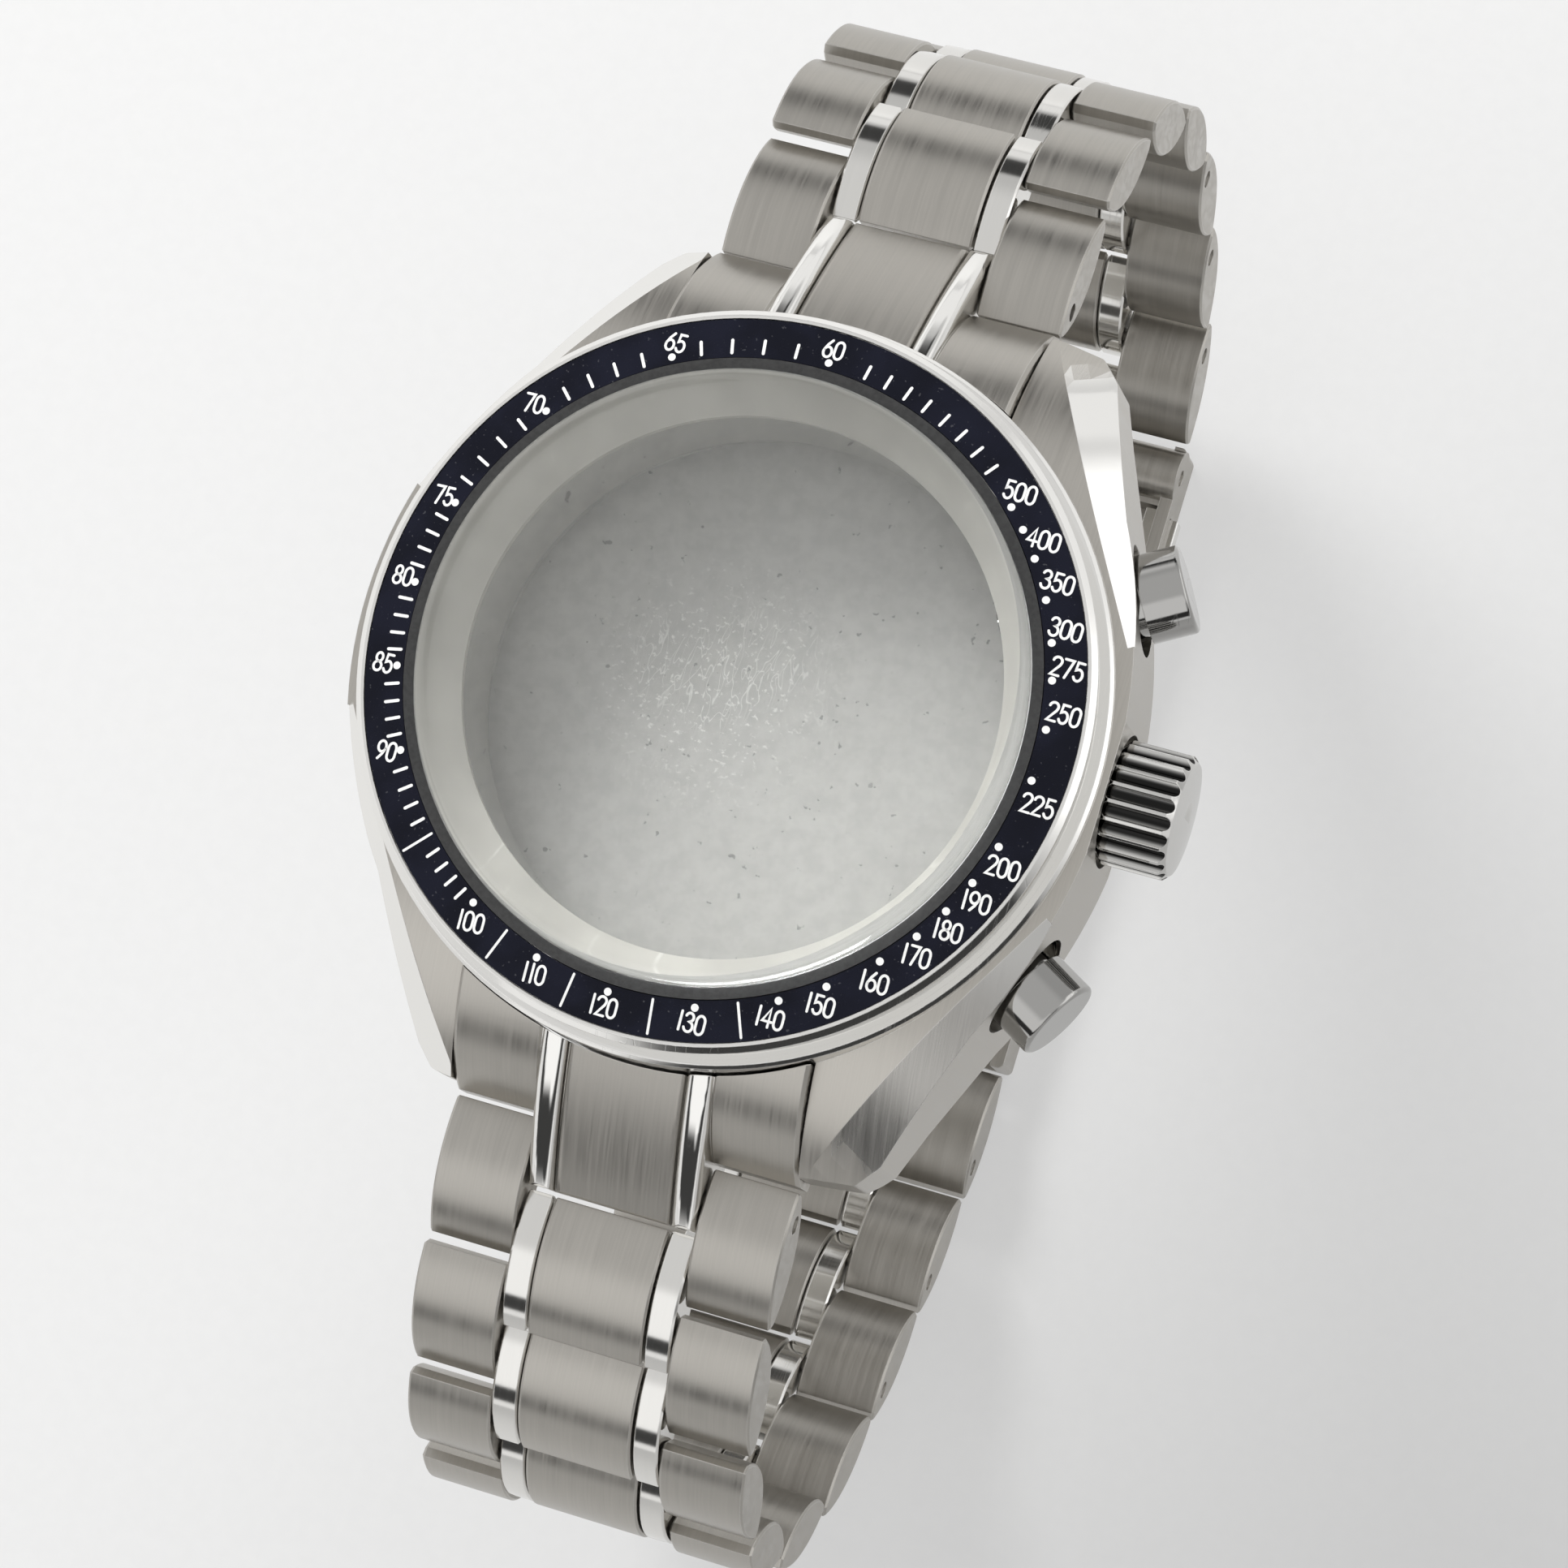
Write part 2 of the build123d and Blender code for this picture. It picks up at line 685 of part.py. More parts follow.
def make_pusher_spring(angle, name):
    start = pusher_collar_end - pusher_seat_depth + pusher_seal_length + spring_wire / 2 + running_fit
    end = pusher_start + pusher_cavity_depth - spring_wire / 2 - running_fit
    height = end - start
    coil = pusher_seat_radius - spring_wire / 2 - running_fit
    base = control_plane(angle, start)
    with BuildPart() as pusher_spring:
        with BuildLine():
            path = Helix(pitch=height / spring_turns, height=height, radius=coil,
                         center=base.origin, direction=base.z_dir)
        with BuildSketch(Plane(path @ 0, z_dir=path % 0)):
            Circle(spring_wire / 2)
        sweep(path=path, is_frenet=True)
    pusher_spring.part.label = name
    return pusher_spring.part


def make_pusher_seal(angle, name):
    start = pusher_collar_end - pusher_seat_depth
    with BuildPart() as pusher_seal:
        round_add(angle, start, start + pusher_seal_length,
                  pusher_seat_radius - press_fit, pusher_stem_radius + running_fit)
    pusher_seal.part.label = name
    return pusher_seal.part


def make_spring_bar(side, name):
    """Sprung bar across the lugs at one end, with a thin tip in each lug."""
    with BuildPart() as spring_bar:
        for reach, radius in ((bar_tip_reach, bar_tip_radius), (bar_body_half, bar_radius)):
            with BuildSketch(Plane.YZ.offset(-reach)):
                with Locations((side * bar_reach, -bar_drop)):
                    Circle(radius)
            extrude(amount=2 * reach)
    spring_bar.part.label = name
    return spring_bar.part


def end_plane(side, offset=0):
    """Side view plane of an end link: distance from the dial axis, then height."""
    return Plane((offset, 0, 0), x_dir=(0, side, 0), z_dir=(side, 0, 0))


def end_face(top_shares, reach, drop, chin, keel=0, rise=0):
    """Side face of an end link's blocks, or of its tongue with a keel under the pin, raised by a rise."""
    start, middle = [(sx * reach, rise - sz * drop) for sx, sz in top_shares]
    start = (start[0], shoulder_height / 2 + rise)
    belly, heel = [(sx * pin_reach, -sz * case_depth) for sx, sz in end_belly_shares]
    with BuildLine() as outline:
        ThreePointArc(start, middle, (reach, rise - drop))
        Line((reach, rise - drop), (reach, -chin))
        if keel:
            ThreePointArc((reach, -chin), (pin_reach, -keel), belly)
        else:
            Line((reach, -chin), belly)
        Polyline(belly, heel, start)
    make_face(outline.edges())


def end_bar(side, near, far, face, edge_size, rounded):
    """One lengthwise piece of an end link between two places along X, with the edges of its top eased."""
    low, high = sorted((near, far))
    with BuildPart() as bar:
        with BuildSketch(end_plane(side, (low + high) / 2)):
            end_face(*face)
        extrude(amount=(high - low) / 2, both=True)
        top = bar.faces().filter_by(GeomType.CYLINDER).sort_by(Axis.Z)[-1]
        if rounded:
            # the far end is eased too, down to the tongue's flat end
            fillet(top.edges().sort_by(Axis.Z)[:-1], edge_size)
        else:
            chamfer(top.edges().filter_by(GeomType.CIRCLE), edge_size)
    return bar.part


def make_end_link(side, name):
    """Piece between the lugs: two blocks, and a ribbed tongue that carries the first link."""
    rib_inner = centre_half_width + side_gap
    rib_outer = rib_inner + bar_width
    block_inner = rib_outer - running_fit
    block_outer = lug_gap / 2 - side_gap
    tongue_low = pin_drop + link_belly
    tongue = (tongue_top_shares, end_tongue_reach, end_tongue_drop, end_tongue_chin, tongue_low)
    with BuildPart() as end_link:
        with BuildSketch(end_plane(side)):
            end_face(*tongue, -groove_depth)
        extrude(amount=rib_outer, both=True)
        # brushed centre, with a narrow groove between it and each rib
        add(end_bar(side, -centre_half_width, centre_half_width, tongue, centre_fillet, True))
        for hand in (-1, 1):
            # block beside the tongue
            block = (end_top_shares, lug_reach, end_block_drop, case_depth)
            add(end_bar(side, hand * block_inner, hand * block_outer, block, block_chamfer, False))
            # raised polished rib with a round back
            add(end_bar(side, hand * rib_inner, hand * rib_outer, (*tongue, rib_rise), rib_fillet, True))
        # seat against the round case, and the two bores
        with BuildSketch(Plane.XY.offset(-lug_depth - overrun)):
            Circle(ledge_radius + side_gap)
        extrude(amount=lug_depth + 3 * overrun, mode=Mode.SUBTRACT)
        with BuildSketch(end_plane(side, -lug_gap)):
            with Locations((bar_reach, -bar_drop)):
                Circle(bar_radius + running_fit)
        extrude(amount=side * 2 * lug_gap, mode=Mode.SUBTRACT)
        with BuildSketch(end_plane(side, -lug_gap)):
            with Locations((pin_reach, -pin_drop)):
                Circle(link_pin_radius + press_fit)
        extrude(amount=side * 2 * lug_gap, mode=Mode.SUBTRACT)
        if side > 0:
            # the first pin of this side ends flush with the tongue
            with BuildSketch(end_plane(side)):
                with Locations((pin_reach, -pin_drop)):
                    Circle(link_pin_radius)
            extrude(amount=rib_outer, both=True)
    end_link.part.label = name
    return end_link.part


def heading_vectors(side, heading):
    """Direction along the chain, and outwards from the wrist, at one link."""
    a = radians(heading)
    along = Vector(0, side * cos(a), -sin(a))
    out = Vector(0, side * sin(a), cos(a))
    return along, out


def closed_headings():
    """Link headings of both sides. The last link of the longer side closes the loop."""
    depth = sum(sin(radians(a)) for a in headings_12)
    left = depth - sum(sin(radians(a)) for a in headings_6)
    last = 180 - degrees(asin(left))
    return headings_12, headings_6 + (last,)


def chain_links(side, headings):
    """Pivot point and heading of each link, and the last pivot, at the clasp."""
    point = Vector(0, side * pin_reach, -pin_drop)
    links = []
    for heading in headings:
        links.append((point, heading))
        along, _ = heading_vectors(side, heading)
        point = point + along * pitch
    return links, point


def link_plane(side, pivot, heading, station, lateral=0):
    """Side view plane of a link at a station along it from its pivot."""
    along, _ = heading_vectors(side, heading)
    return Plane(pivot + along * station + Vector(lateral, 0, 0), x_dir=along, z_dir=(side, 0, 0))


def link_face(sink=0):
    """Lens-shaped side face of a link piece, centred between its two pins."""
    tip = link_half_length - link_tip
    with BuildLine() as outline:
        ThreePointArc((-link_half_length, link_edge - sink), (0, link_crown - sink),
                      (link_half_length, link_edge - sink))
        Line((link_half_length, link_edge - sink), (tip, 0))
        ThreePointArc((tip, 0), (0, -link_belly), (-tip, 0))
        Line((-tip, 0), (-link_half_length, link_edge - sink))
    make_face(outline.edges())


def make_outer_links(side, pivot, heading, through, holds_first_pin, name):
    """The pair of outer pieces of one link, with the pins that they hold."""
    middle = (outer_inner_half + link_half_width) / 2
    with BuildPart() as outer:
        for hand in (-1, 1):
            with BuildSketch(link_plane(side, pivot, heading, half_pitch / 2, hand * middle)):
                link_face()
            extrude(amount=outer_width / 2, both=True)
        chamfer(outer.faces().filter_by(Axis.X).edges(), link_chamfer)
        hole_reach = link_half_width + overrun if through else link_half_width - blind_wall
        for station, reach in ((0, hole_reach), (half_pitch, link_half_width - blind_wall)):
            with BuildSketch(link_plane(side, pivot, heading, station)):
                Circle(link_pin_radius + press_fit)
            extrude(amount=reach, both=True, mode=Mode.SUBTRACT)
            if station or holds_first_pin:
                with BuildSketch(link_plane(side, pivot, heading, station)):
                    Circle(link_pin_radius)
                extrude(amount=min(reach, link_half_width) - pin_inset, both=True)
    outer.part.label = name
    return outer.part


def make_centre_links(side, pivot, heading, name):
    """Brushed centre of one link with a polished bar on each side."""
    station = half_pitch + half_pitch / 2
    bar_middle = centre_half_width + side_gap + bar_width / 2
    with BuildPart() as centre:
        with BuildSketch(link_plane(side, pivot, heading, station)):
            link_face()
        extrude(amount=centre_half_width, both=True)
        for hand in (-1, 1):
            with BuildSketch(link_plane(side, pivot, heading, station, hand * bar_middle)):
                link_face(bar_sink)
            extrude(amount=bar_width / 2, both=True)
        chamfer(centre.faces().filter_by(Axis.X).edges(), link_chamfer)
        for place, fit in ((half_pitch, press_fit), (pitch, running_fit)):
            with BuildSketch(link_plane(side, pivot, heading, place)):
                Circle(link_pin_radius + fit)
            extrude(amount=link_half_width, both=True, mode=Mode.SUBTRACT)
    centre.part.label = name
    return centre.part


def clasp_places():
    """Places along Y of both clasp pivots and of the two fold pins, with the pivots' height."""
    heads_12, heads_6 = closed_headings()
    _, end_12 = chain_links(1, heads_12)
    _, end_6 = chain_links(-1, heads_6)
    return end_12.Y, end_6.Y, end_12.Y - fold_inset, end_6.Y + fold_inset, end_12.Z


def box_between(x0, x1, y0, y1, z0, z1, mode=Mode.ADD):
    """Square block between two corners."""
    with BuildSketch(Plane.XY.offset(z0)) as section:
        with Locations(((x0 + x1) / 2, (y0 + y1) / 2)):
            Rectangle(x1 - x0, y1 - y0)
    extrude(section.sketch, amount=z1 - z0, mode=mode)


def cross_round(y, z, radius, x0, x1, mode=Mode.ADD):
    """Round length across the clasp."""
    with BuildSketch(Plane.YZ.offset(x0)) as section:
        with Locations((y, z)):
            Circle(radius)
    extrude(section.sketch, amount=x1 - x0, mode=mode)


def make_clasp_cover():
    """Outer half of the clasp: a channel that hides the folded blades."""
    y_12, y_6, y_fold, y_cover_fold, z = clasp_places()
    half = link_half_width
    wall_inner = half - cover_wall
    floor = z - cover_drop
    low = floor - cover_plate
    start, finish = y_6 - cover_overhang, y_12 + cover_overhang
    cheek_inner = outer_inner_half
    fold_z = z - cover_fold_drop
    with BuildPart() as clasp_cover:
        box_between(-half, half, start, finish, low, z + cover_wall_rise)
        box_between(-wall_inner, wall_inner, start - overrun, finish + overrun, floor,
                    z + cover_wall_rise + overrun, Mode.SUBTRACT)
        fillet(clasp_cover.edges().filter_by(Axis.Y).group_by(Axis.Z)[0], cover_fillet)
        fillet(clasp_cover.edges().filter_by(Axis.X).group_by(Axis.Z)[0], cover_fillet)
        for hand in (-1, 1):
            near, far = sorted((hand * cheek_inner, hand * half))
            # cheek that holds the last pin of the 12 o'clock side
            box_between(near, far, y_12 - cheek_run, finish - cover_fillet, floor, z)
            cross_round(y_12, z, cheek_run - cover_fillet, near, far)
            # knuckle of the cover's fold
            near, far = sorted((hand * (fold_split + side_gap / 2), hand * outer_blade_half))
            box_between(near, far, y_cover_fold - cover_fold_radius, y_cover_fold + cover_fold_radius,
                        floor, fold_z)
            cross_round(y_cover_fold, fold_z, cover_fold_radius, near, far)
            # slot for the button
            near, far = sorted((hand * (wall_inner - overrun), hand * (half + overrun)))
            slot_half = button_length / 2 + side_gap
            box_between(near, far, y_fold - slot_half, y_fold + slot_half,
                        floor + button_foot_margin, floor + button_foot_margin + button_height + side_gap,
                        Mode.SUBTRACT)
        cross_round(y_12, z, link_pin_radius + press_fit, -half - overrun, half + overrun, Mode.SUBTRACT)
        cross_round(y_cover_fold, fold_z, fold_pin_radius + press_fit, -outer_blade_half - overrun,
                    outer_blade_half + overrun, Mode.SUBTRACT)
        # last pin and fold pin, held by the cover
        cross_round(y_12, z, link_pin_radius, pin_inset - half, half - pin_inset)
        cross_round(y_cover_fold, fold_z, fold_pin_radius, -outer_blade_half, outer_blade_half)
    clasp_cover.part.label = "clasp_cover"
    return clasp_cover.part


def make_clasp_inner_blade():
    """Blade nearest the wrist, from the 6 o'clock links to the first fold."""
    y_12, y_6, y_fold, y_cover_fold, z = clasp_places()
    low = z + inner_blade_lift
    top = low + blade_thickness
    half = inner_blade_half
    fold_z = z - fold_drop
    with BuildPart() as inner_blade:
        box_between(-half, half, y_6 + blade_start, y_fold, low, top)
        for hand in (-1, 1):
            near, far = sorted((hand * outer_inner_half, hand * half))
            box_between(near, far, y_6, y_6 + blade_start, z, top)
            cross_round(y_6, z, blade_knuckle_radius, near, far)
            near, far = sorted((hand * (fold_split + side_gap / 2), hand * half))
            cross_round(y_fold, fold_z, fold_radius, near, far)
            box_between(near, far, y_fold - fold_radius, y_fold + fold_radius, fold_z, top)
        box_between(-fold_split - side_gap / 2, fold_split + side_gap / 2, y_fold - fold_radius - side_gap,
                    y_fold + fold_radius, low - overrun, top + overrun, Mode.SUBTRACT)
        cross_round(y_6, z, link_pin_radius + press_fit, -half - overrun, half + overrun, Mode.SUBTRACT)
        cross_round(y_fold, fold_z, fold_pin_radius + press_fit, -half - overrun, half + overrun,
                    Mode.SUBTRACT)
        # the two pins that this blade holds
        cross_round(y_6, z, link_pin_radius, -half, half)
        cross_round(y_fold, fold_z, fold_pin_radius, -half, half)
    inner_blade.part.label = "clasp_inner_blade"
    return inner_blade.part


def make_clasp_outer_blade():
    """Blade between the inner blade and the cover, hinged to both."""
    y_12, y_6, y_fold, y_cover_fold, z = clasp_places()
    low = z - outer_blade_drop
    top = low + blade_thickness
    half = outer_blade_half
    fold_z = z - fold_drop
    cover_fold_z = z - cover_fold_drop
    split = fold_split - side_gap / 2
    swing = fold_radius + 3 * side_gap
    with BuildPart() as outer_blade:
        box_between(-half, half, y_cover_fold + swing, y_fold - swing, low, top)
        box_between(-split, split, y_cover_fold, y_fold, low, top)
        cross_round(y_fold, fold_z, fold_radius, -split, split)
        box_between(-split, split, y_fold - fold_radius, y_fold + fold_radius / 2, low, fold_z)
        cross_round(y_cover_fold, cover_fold_z, cover_fold_radius, -split, split)
        cross_round(y_fold, fold_z, fold_pin_radius + running_fit, -half, half, Mode.SUBTRACT)
        cross_round(y_cover_fold, cover_fold_z, fold_pin_radius + running_fit, -half, half, Mode.SUBTRACT)
    outer_blade.part.label = "clasp_outer_blade"
    return outer_blade.part


def make_clasp_button(hand, name):
    """Side button with a foot behind the clasp's wall."""
    y_12, y_6, y_fold, y_cover_fold, z = clasp_places()
    low = z - cover_drop + button_foot_margin + side_gap / 2
    half_length = button_length / 2
    with BuildPart() as button:
        near, far = sorted((hand * button_foot_reach, hand * button_reach))
        box_between(near, far, y_fold - half_length, y_fold + half_length, low, low + button_height)
        ends = button.faces().sort_by(Axis.X)
        outer_face = ends[-1] if hand > 0 else ends[0]
        fillet(outer_face.edges(), side_gap)
        near, far = sorted((hand * (button_foot_reach - button_foot), hand * button_foot_reach))
        foot = half_length + button_foot_margin
        box_between(near, far, y_fold - foot, y_fold + foot, low - button_foot_margin / 2,
                    low + button_height + button_foot_margin / 2)
    button.part.label = name
    return button.part


def bracelet_parts():
    """Every link of both sides, from the case to the clasp."""
    heads_12, heads_6 = closed_headings()
    pieces = []
    bracelet_sides = ((1, "12", heads_12, open_links_12), (-1, "6", heads_6, open_links_6))
    for side, hour, headings, open_links in bracelet_sides:
        links, _ = chain_links(side, headings)
        for number, (pivot, heading) in enumerate(links, start=1):
            stem = f"link_{hour}_{number}"
            # the end link at 12 o'clock keeps the first pin of its side
            holds_first_pin = side < 0 or number > 1
            through = number in open_links
            pieces.append(make_outer_links(side, pivot, heading, through, holds_first_pin, stem + "_outer"))
            pieces.append(make_centre_links(side, pivot, heading, stem + "_centre"))
    return pieces


def case_parts():
    """Every piece of the watch case itself."""
    return [
        make_case_middle(), make_bezel(), make_bezel_insert(), make_crystal(), make_crystal_gasket(),
        make_rehaut_ring(), make_case_back(), make_case_back_gasket(),
        make_crown(), make_crown_tube(), make_crown_gasket(),
        make_pusher(pusher_angle, "pusher_upper"), make_pusher(-pusher_angle, "pusher_lower"),
        make_pusher_tube(pusher_angle, "pusher_tube_upper"),
        make_pusher_tube(-pusher_angle, "pusher_tube_lower"),
        make_pusher_spring(pusher_angle, "pusher_spring_upper"),
        make_pusher_spring(-pusher_angle, "pusher_spring_lower"),
        make_pusher_seal(pusher_angle, "pusher_seal_upper"),
        make_pusher_seal(-pusher_angle, "pusher_seal_lower"),
        make_spring_bar(1, "spring_bar_12"), make_spring_bar(-1, "spring_bar_6"),
        make_end_link(1, "end_link_12"), make_end_link(-1, "end_link_6"),
    ]


def clasp_parts():
    """Every piece of the folding clasp."""
    return [
        make_clasp_cover(), make_clasp_inner_blade(), make_clasp_outer_blade(),
        make_clasp_button(1, "clasp_button_right"), make_clasp_button(-1, "clasp_button_left"),
    ]


def main():
    os.makedirs("parts", exist_ok=True)
    for piece in case_parts() + bracelet_parts() + clasp_parts():
        export_step(piece, f"parts/{piece.label}.step")


if __name__ == "__main__":
    main()
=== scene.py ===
from math import cos, hypot, pi, radians, sin

import bmesh
import bpy
from bpy.props import FloatProperty, FloatVectorProperty, PointerProperty
from mathutils import Matrix, Vector


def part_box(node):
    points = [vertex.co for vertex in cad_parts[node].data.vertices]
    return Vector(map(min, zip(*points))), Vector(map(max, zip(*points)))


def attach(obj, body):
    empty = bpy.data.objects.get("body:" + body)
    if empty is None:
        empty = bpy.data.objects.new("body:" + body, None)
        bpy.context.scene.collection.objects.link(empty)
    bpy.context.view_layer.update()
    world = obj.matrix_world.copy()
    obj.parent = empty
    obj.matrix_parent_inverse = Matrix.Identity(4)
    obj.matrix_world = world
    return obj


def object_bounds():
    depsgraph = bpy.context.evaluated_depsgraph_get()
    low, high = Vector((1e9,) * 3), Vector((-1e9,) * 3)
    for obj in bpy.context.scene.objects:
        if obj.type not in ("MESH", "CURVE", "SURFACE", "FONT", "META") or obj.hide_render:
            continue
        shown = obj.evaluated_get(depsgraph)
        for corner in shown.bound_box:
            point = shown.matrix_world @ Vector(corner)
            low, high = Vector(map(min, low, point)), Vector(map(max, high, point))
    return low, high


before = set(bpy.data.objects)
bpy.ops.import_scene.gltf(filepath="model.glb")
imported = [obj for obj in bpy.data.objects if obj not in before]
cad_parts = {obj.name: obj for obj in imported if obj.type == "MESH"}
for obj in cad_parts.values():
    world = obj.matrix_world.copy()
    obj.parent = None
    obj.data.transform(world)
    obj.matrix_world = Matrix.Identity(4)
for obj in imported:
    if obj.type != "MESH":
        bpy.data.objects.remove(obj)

bl_info = {
    "name": "Empty watch case",
    "version": (1, 0, 0),
    "blender": (4, 5, 0),
    "location": "View3D > Sidebar > Watch",
    "description": "Finishes an empty chronograph case on its bracelet, with its scale, glass and a studio",
    "category": "Object",
}

MM = 0.001
BODY = "case"
CAD_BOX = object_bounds()

INSERT_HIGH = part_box("bezel_insert")[1]
BACK_LOW, BACK_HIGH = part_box("case_back")
CROWN_LOW, CROWN_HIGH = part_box("crown")

# the insert's top slopes from its inner radius down to its outer edge
INSERT_OUTER = INSERT_HIGH.x
INSERT_INNER = 17.27 * MM
INSERT_EDGE_HEIGHT = INSERT_HIGH.z - 0.35 * MM

# where one finish of the steel turns into the next, and how softly
SEAM = 0.02 * MM
LEDGE_RADIUS = 20.5 * MM
CENTRE_HALF_WIDTH = 3.35 * MM
RIB_OUTER = 4.9 * MM
FLOOR_SHARES = (0.35, 0.45)

# shine of each kind of steel, of the bars beside the links' centres and lost by the lower right bevel
SHINES = {"brushed": 0.0, "polished": 1.0, "satin": 0.35}
BAR_SHINE = 0.82
SOFT_BEVEL = 0.6
SOFT_BEVEL_X = (4 * MM, 9 * MM)
SOFT_BEVEL_Y = (-9 * MM, -14 * MM)

# painted shade: the grooves of the crown are painted dark up to a thin lip at their crests
GROOVE_DEPTH = 0.28 * MM
GROOVE_LIP = 0.03 * MM
GROOVE_PAINTED_SHADE = 0.03

# most of a noise lies between these values
NOISE_RANGE = (0.3, 0.7)

# roughness of each finish: how far its lowest value lies under the mean, and how far it spreads from there
BRUSHED_DROP, BRUSHED_SPREAD = 0.16, 0.34
POLISHED_DROP, POLISHED_SPREAD = 0.02, 0.05
SCRATCH_ROUGH = 0.12
GRAIN_SHADES = (0.9, 1.06)
SUN_SHADES = (0.88, 1.08)
EDGE_RANGE, EDGE_SHARE = (0.99, 0.9), 0.4
BEVEL_ACROSS, BEVEL_UP = (0.24, 0.28), (0.25, 0.3)
REHAUT_METAL = 0.25
FLOOR_METAL = 0.2

# relief of the surfaces, and the share of the steel's tone that the pieces keep
LINE_RELIEF = 0.012 * MM
COARSE_RELIEF = 0.02 * MM
FINE_RELIEF = 0.004 * MM
CASE_DIM, OUTER_DIM, CENTRE_DIM, END_DIM = 1.12, 0.97, 1.0, 1.02
# the crown and the pushers keep less of the polished tone: painted dark reflections
PUSHER_PAINTED_DARK, CROWN_PAINTED_DARK = 0.5, 0.75

# tone of the steel edges: partly worn steel, partly painted highlight
WORN_AND_LIT_EDGE_TONE = (0.86, 0.85, 0.83)
LIGHT_STREAK_TONE = (0.92, 0.91, 0.87)
SCUFF_TONE = (0.90, 0.89, 0.85)
PIT_TONE = (0.16, 0.158, 0.15)
DUST_TONE = (0.4, 0.4, 0.42)

# the scuffs on the inner floor gather round this place
SCUFF_MIDDLE = (-3 * MM, 1 * MM)
SCUFF_REACH = (9 * MM, 2 * MM)

# speeds on the scale, each with the angle of its dot and of its number, clockwise from 12
SCALE_MARKS = (
    (500, 44.5, 43), (450, 49, None), (400, 54.5, 52), (350, 62, 59.5), (300, 69.5, 67.5), (275, 76, 74),
    (250, 84.5, 81.5), (225, 93.5, 97), (200, 106, 108.5), (190, 113.5, 115.5), (180, 120, 122),
    (170, 126.5, 128.5), (160, 134, 136.5), (150, 144, 146), (140, 152.5, 154.5), (130, 167, 167.5),
    (120, 182.5, 182.5), (110, 196.5, 195.5), (100, 211.5, 209.5), (90, 242, 242.5), (85, 257, 257.5),
    (80, 272, 272.5), (75, 287.5, 287.5), (70, 310, 309), (65, 334, 335), (60, 362, 362),
)
LAST_LINED_SPEED = 140
FIRST_BARE_SPEED = 100
SHORT_STEPS = 5
ARC_START, ARC_END, ARC_TICKS = 9, 37, 8
NARROW_SHARE = 0.62
OVAL_STEP = 20
CAP_STEPS = 6
DOT_SIDES = 20
SHARPEST_TURN = 0.6

INSERT_GLOSS = 0.12
GLASS_IOR = 1.5

FLOOR_REACH = 2.0
PAPER_ROUGH, PAPER_GLOSS = 0.7, 0.2
# painted shade: the floor's tone falls off from the upper left to the lower right
PAINTED_SHADE_SLANT = 0.6
PAINTED_SHADE_START, PAINTED_SHADE_END = -0.03, 0.11
LAMP_TARGET = (0, 0, -0.02)
KEY_SIZE, KEY_PLACE = (0.3, 0.3), (-0.42, 0.52, 0.46)
FILL_SIZE, FILL_PLACE = (0.25, 0.4), (0.5, 0.35, 0.3)
BACKDROP = 0.95
SENSOR_WIDTH = 36.0
CAMERA_RIGHT = Vector((0.93530746, 0.29109111, -0.20116144))
CAMERA_DOWN = Vector((0.25519085, -0.94875684, -0.18638155))
CAMERA_AHEAD = Vector((-0.2451073, 0.12298949, -0.96166314))


# Properties


def colour_setting(name, description, default):
    return FloatVectorProperty(name=name, description=description, subtype="COLOR", min=0, max=1,
                               default=default)


def share_setting(name, description, default):
    return FloatProperty(name=name, description=description, min=0, max=1, default=default)


def length_setting(name, description, default):
    return FloatProperty(name=name, description=description, unit="LENGTH", min=0, default=default)


def power_setting(name, description, default):
    return FloatProperty(name=name, description=description, unit="POWER", min=0, default=default)


def bright_setting(name, description, default):
    return FloatProperty(name=name, description=description, min=0, default=default)


class CASE_PG_steel(bpy.types.PropertyGroup):
    """Steel of the case, bezel, bracelet and clasp."""

    brushed: colour_setting("Brushed steel", "Colour of the brushed surfaces", (0.47, 0.45, 0.415))
    polished: colour_setting("Polished steel", "Colour of the polished surfaces", (0.84, 0.83, 0.805))
    satin: colour_setting("Satin steel", "Colour of the fine matt surfaces", (0.52, 0.505, 0.475))
    inner_floor: colour_setting("Inner floor", "Colour of the case back's bare inside", (0.48, 0.473, 0.45))
    rehaut: colour_setting("Rehaut", "Colour of the matt ring under the crystal", (0.52, 0.505, 0.465))
    brushed_rough: share_setting("Brushed roughness", "Mean roughness of the brushed surfaces", 0.36)
    polished_rough: share_setting("Polished roughness", "Mean roughness of the polished surfaces", 0.055)
    stretch: share_setting(
        "Brush stretch", "How far brushed steel draws its highlights out across the lines", 0.6)
    grain: length_setting("Brush line", "Width of one brushed line", 0.00012)
    edge_round: length_setting("Edge rounding", "Radius that catches the light on every steel edge", 0.00008)


class CASE_PG_scale(bpy.types.PropertyGroup):
    """Printed scale on the bezel insert."""

    ground: colour_setting("Ground", "Colour of the insert", (0.0045, 0.005, 0.010))
    ink: colour_setting("Ink", "Colour of the numbers, dots and lines", (0.86, 0.86, 0.85))
    height: length_setting("Number height", "Height of the numbers", 0.00098)
    spacing: length_setting("Digit pitch", "Distance from digit to digit", 0.0006)
    stroke: length_setting("Stroke", "Width of the digits' strokes and the long lines", 0.00014)
    number_ring: length_setting("Number ring", "Radius that the numbers stand on", 0.01845)
    dot: length_setting("Dot radius", "Radius of the dots", 0.00021)
    dot_ring: length_setting("Dot ring", "Radius that the dots stand on", 0.01766)
    tick_start: length_setting("Tick start", "Inner end of the short ticks", 0.01752)
    tick_end: length_setting("Tick end", "Outer end of the short ticks", 0.01825)
    tick_width: length_setting("Tick width", "Width of the short ticks", 0.00017)
    line_start: length_setting("Line start", "Inner end of the long lines", 0.01746)
    line_end: length_setting("Line end", "Outer end of the long lines", 0.01925)
    thickness: length_setting("Ink thickness", "How far the print stands out", 0.000008)


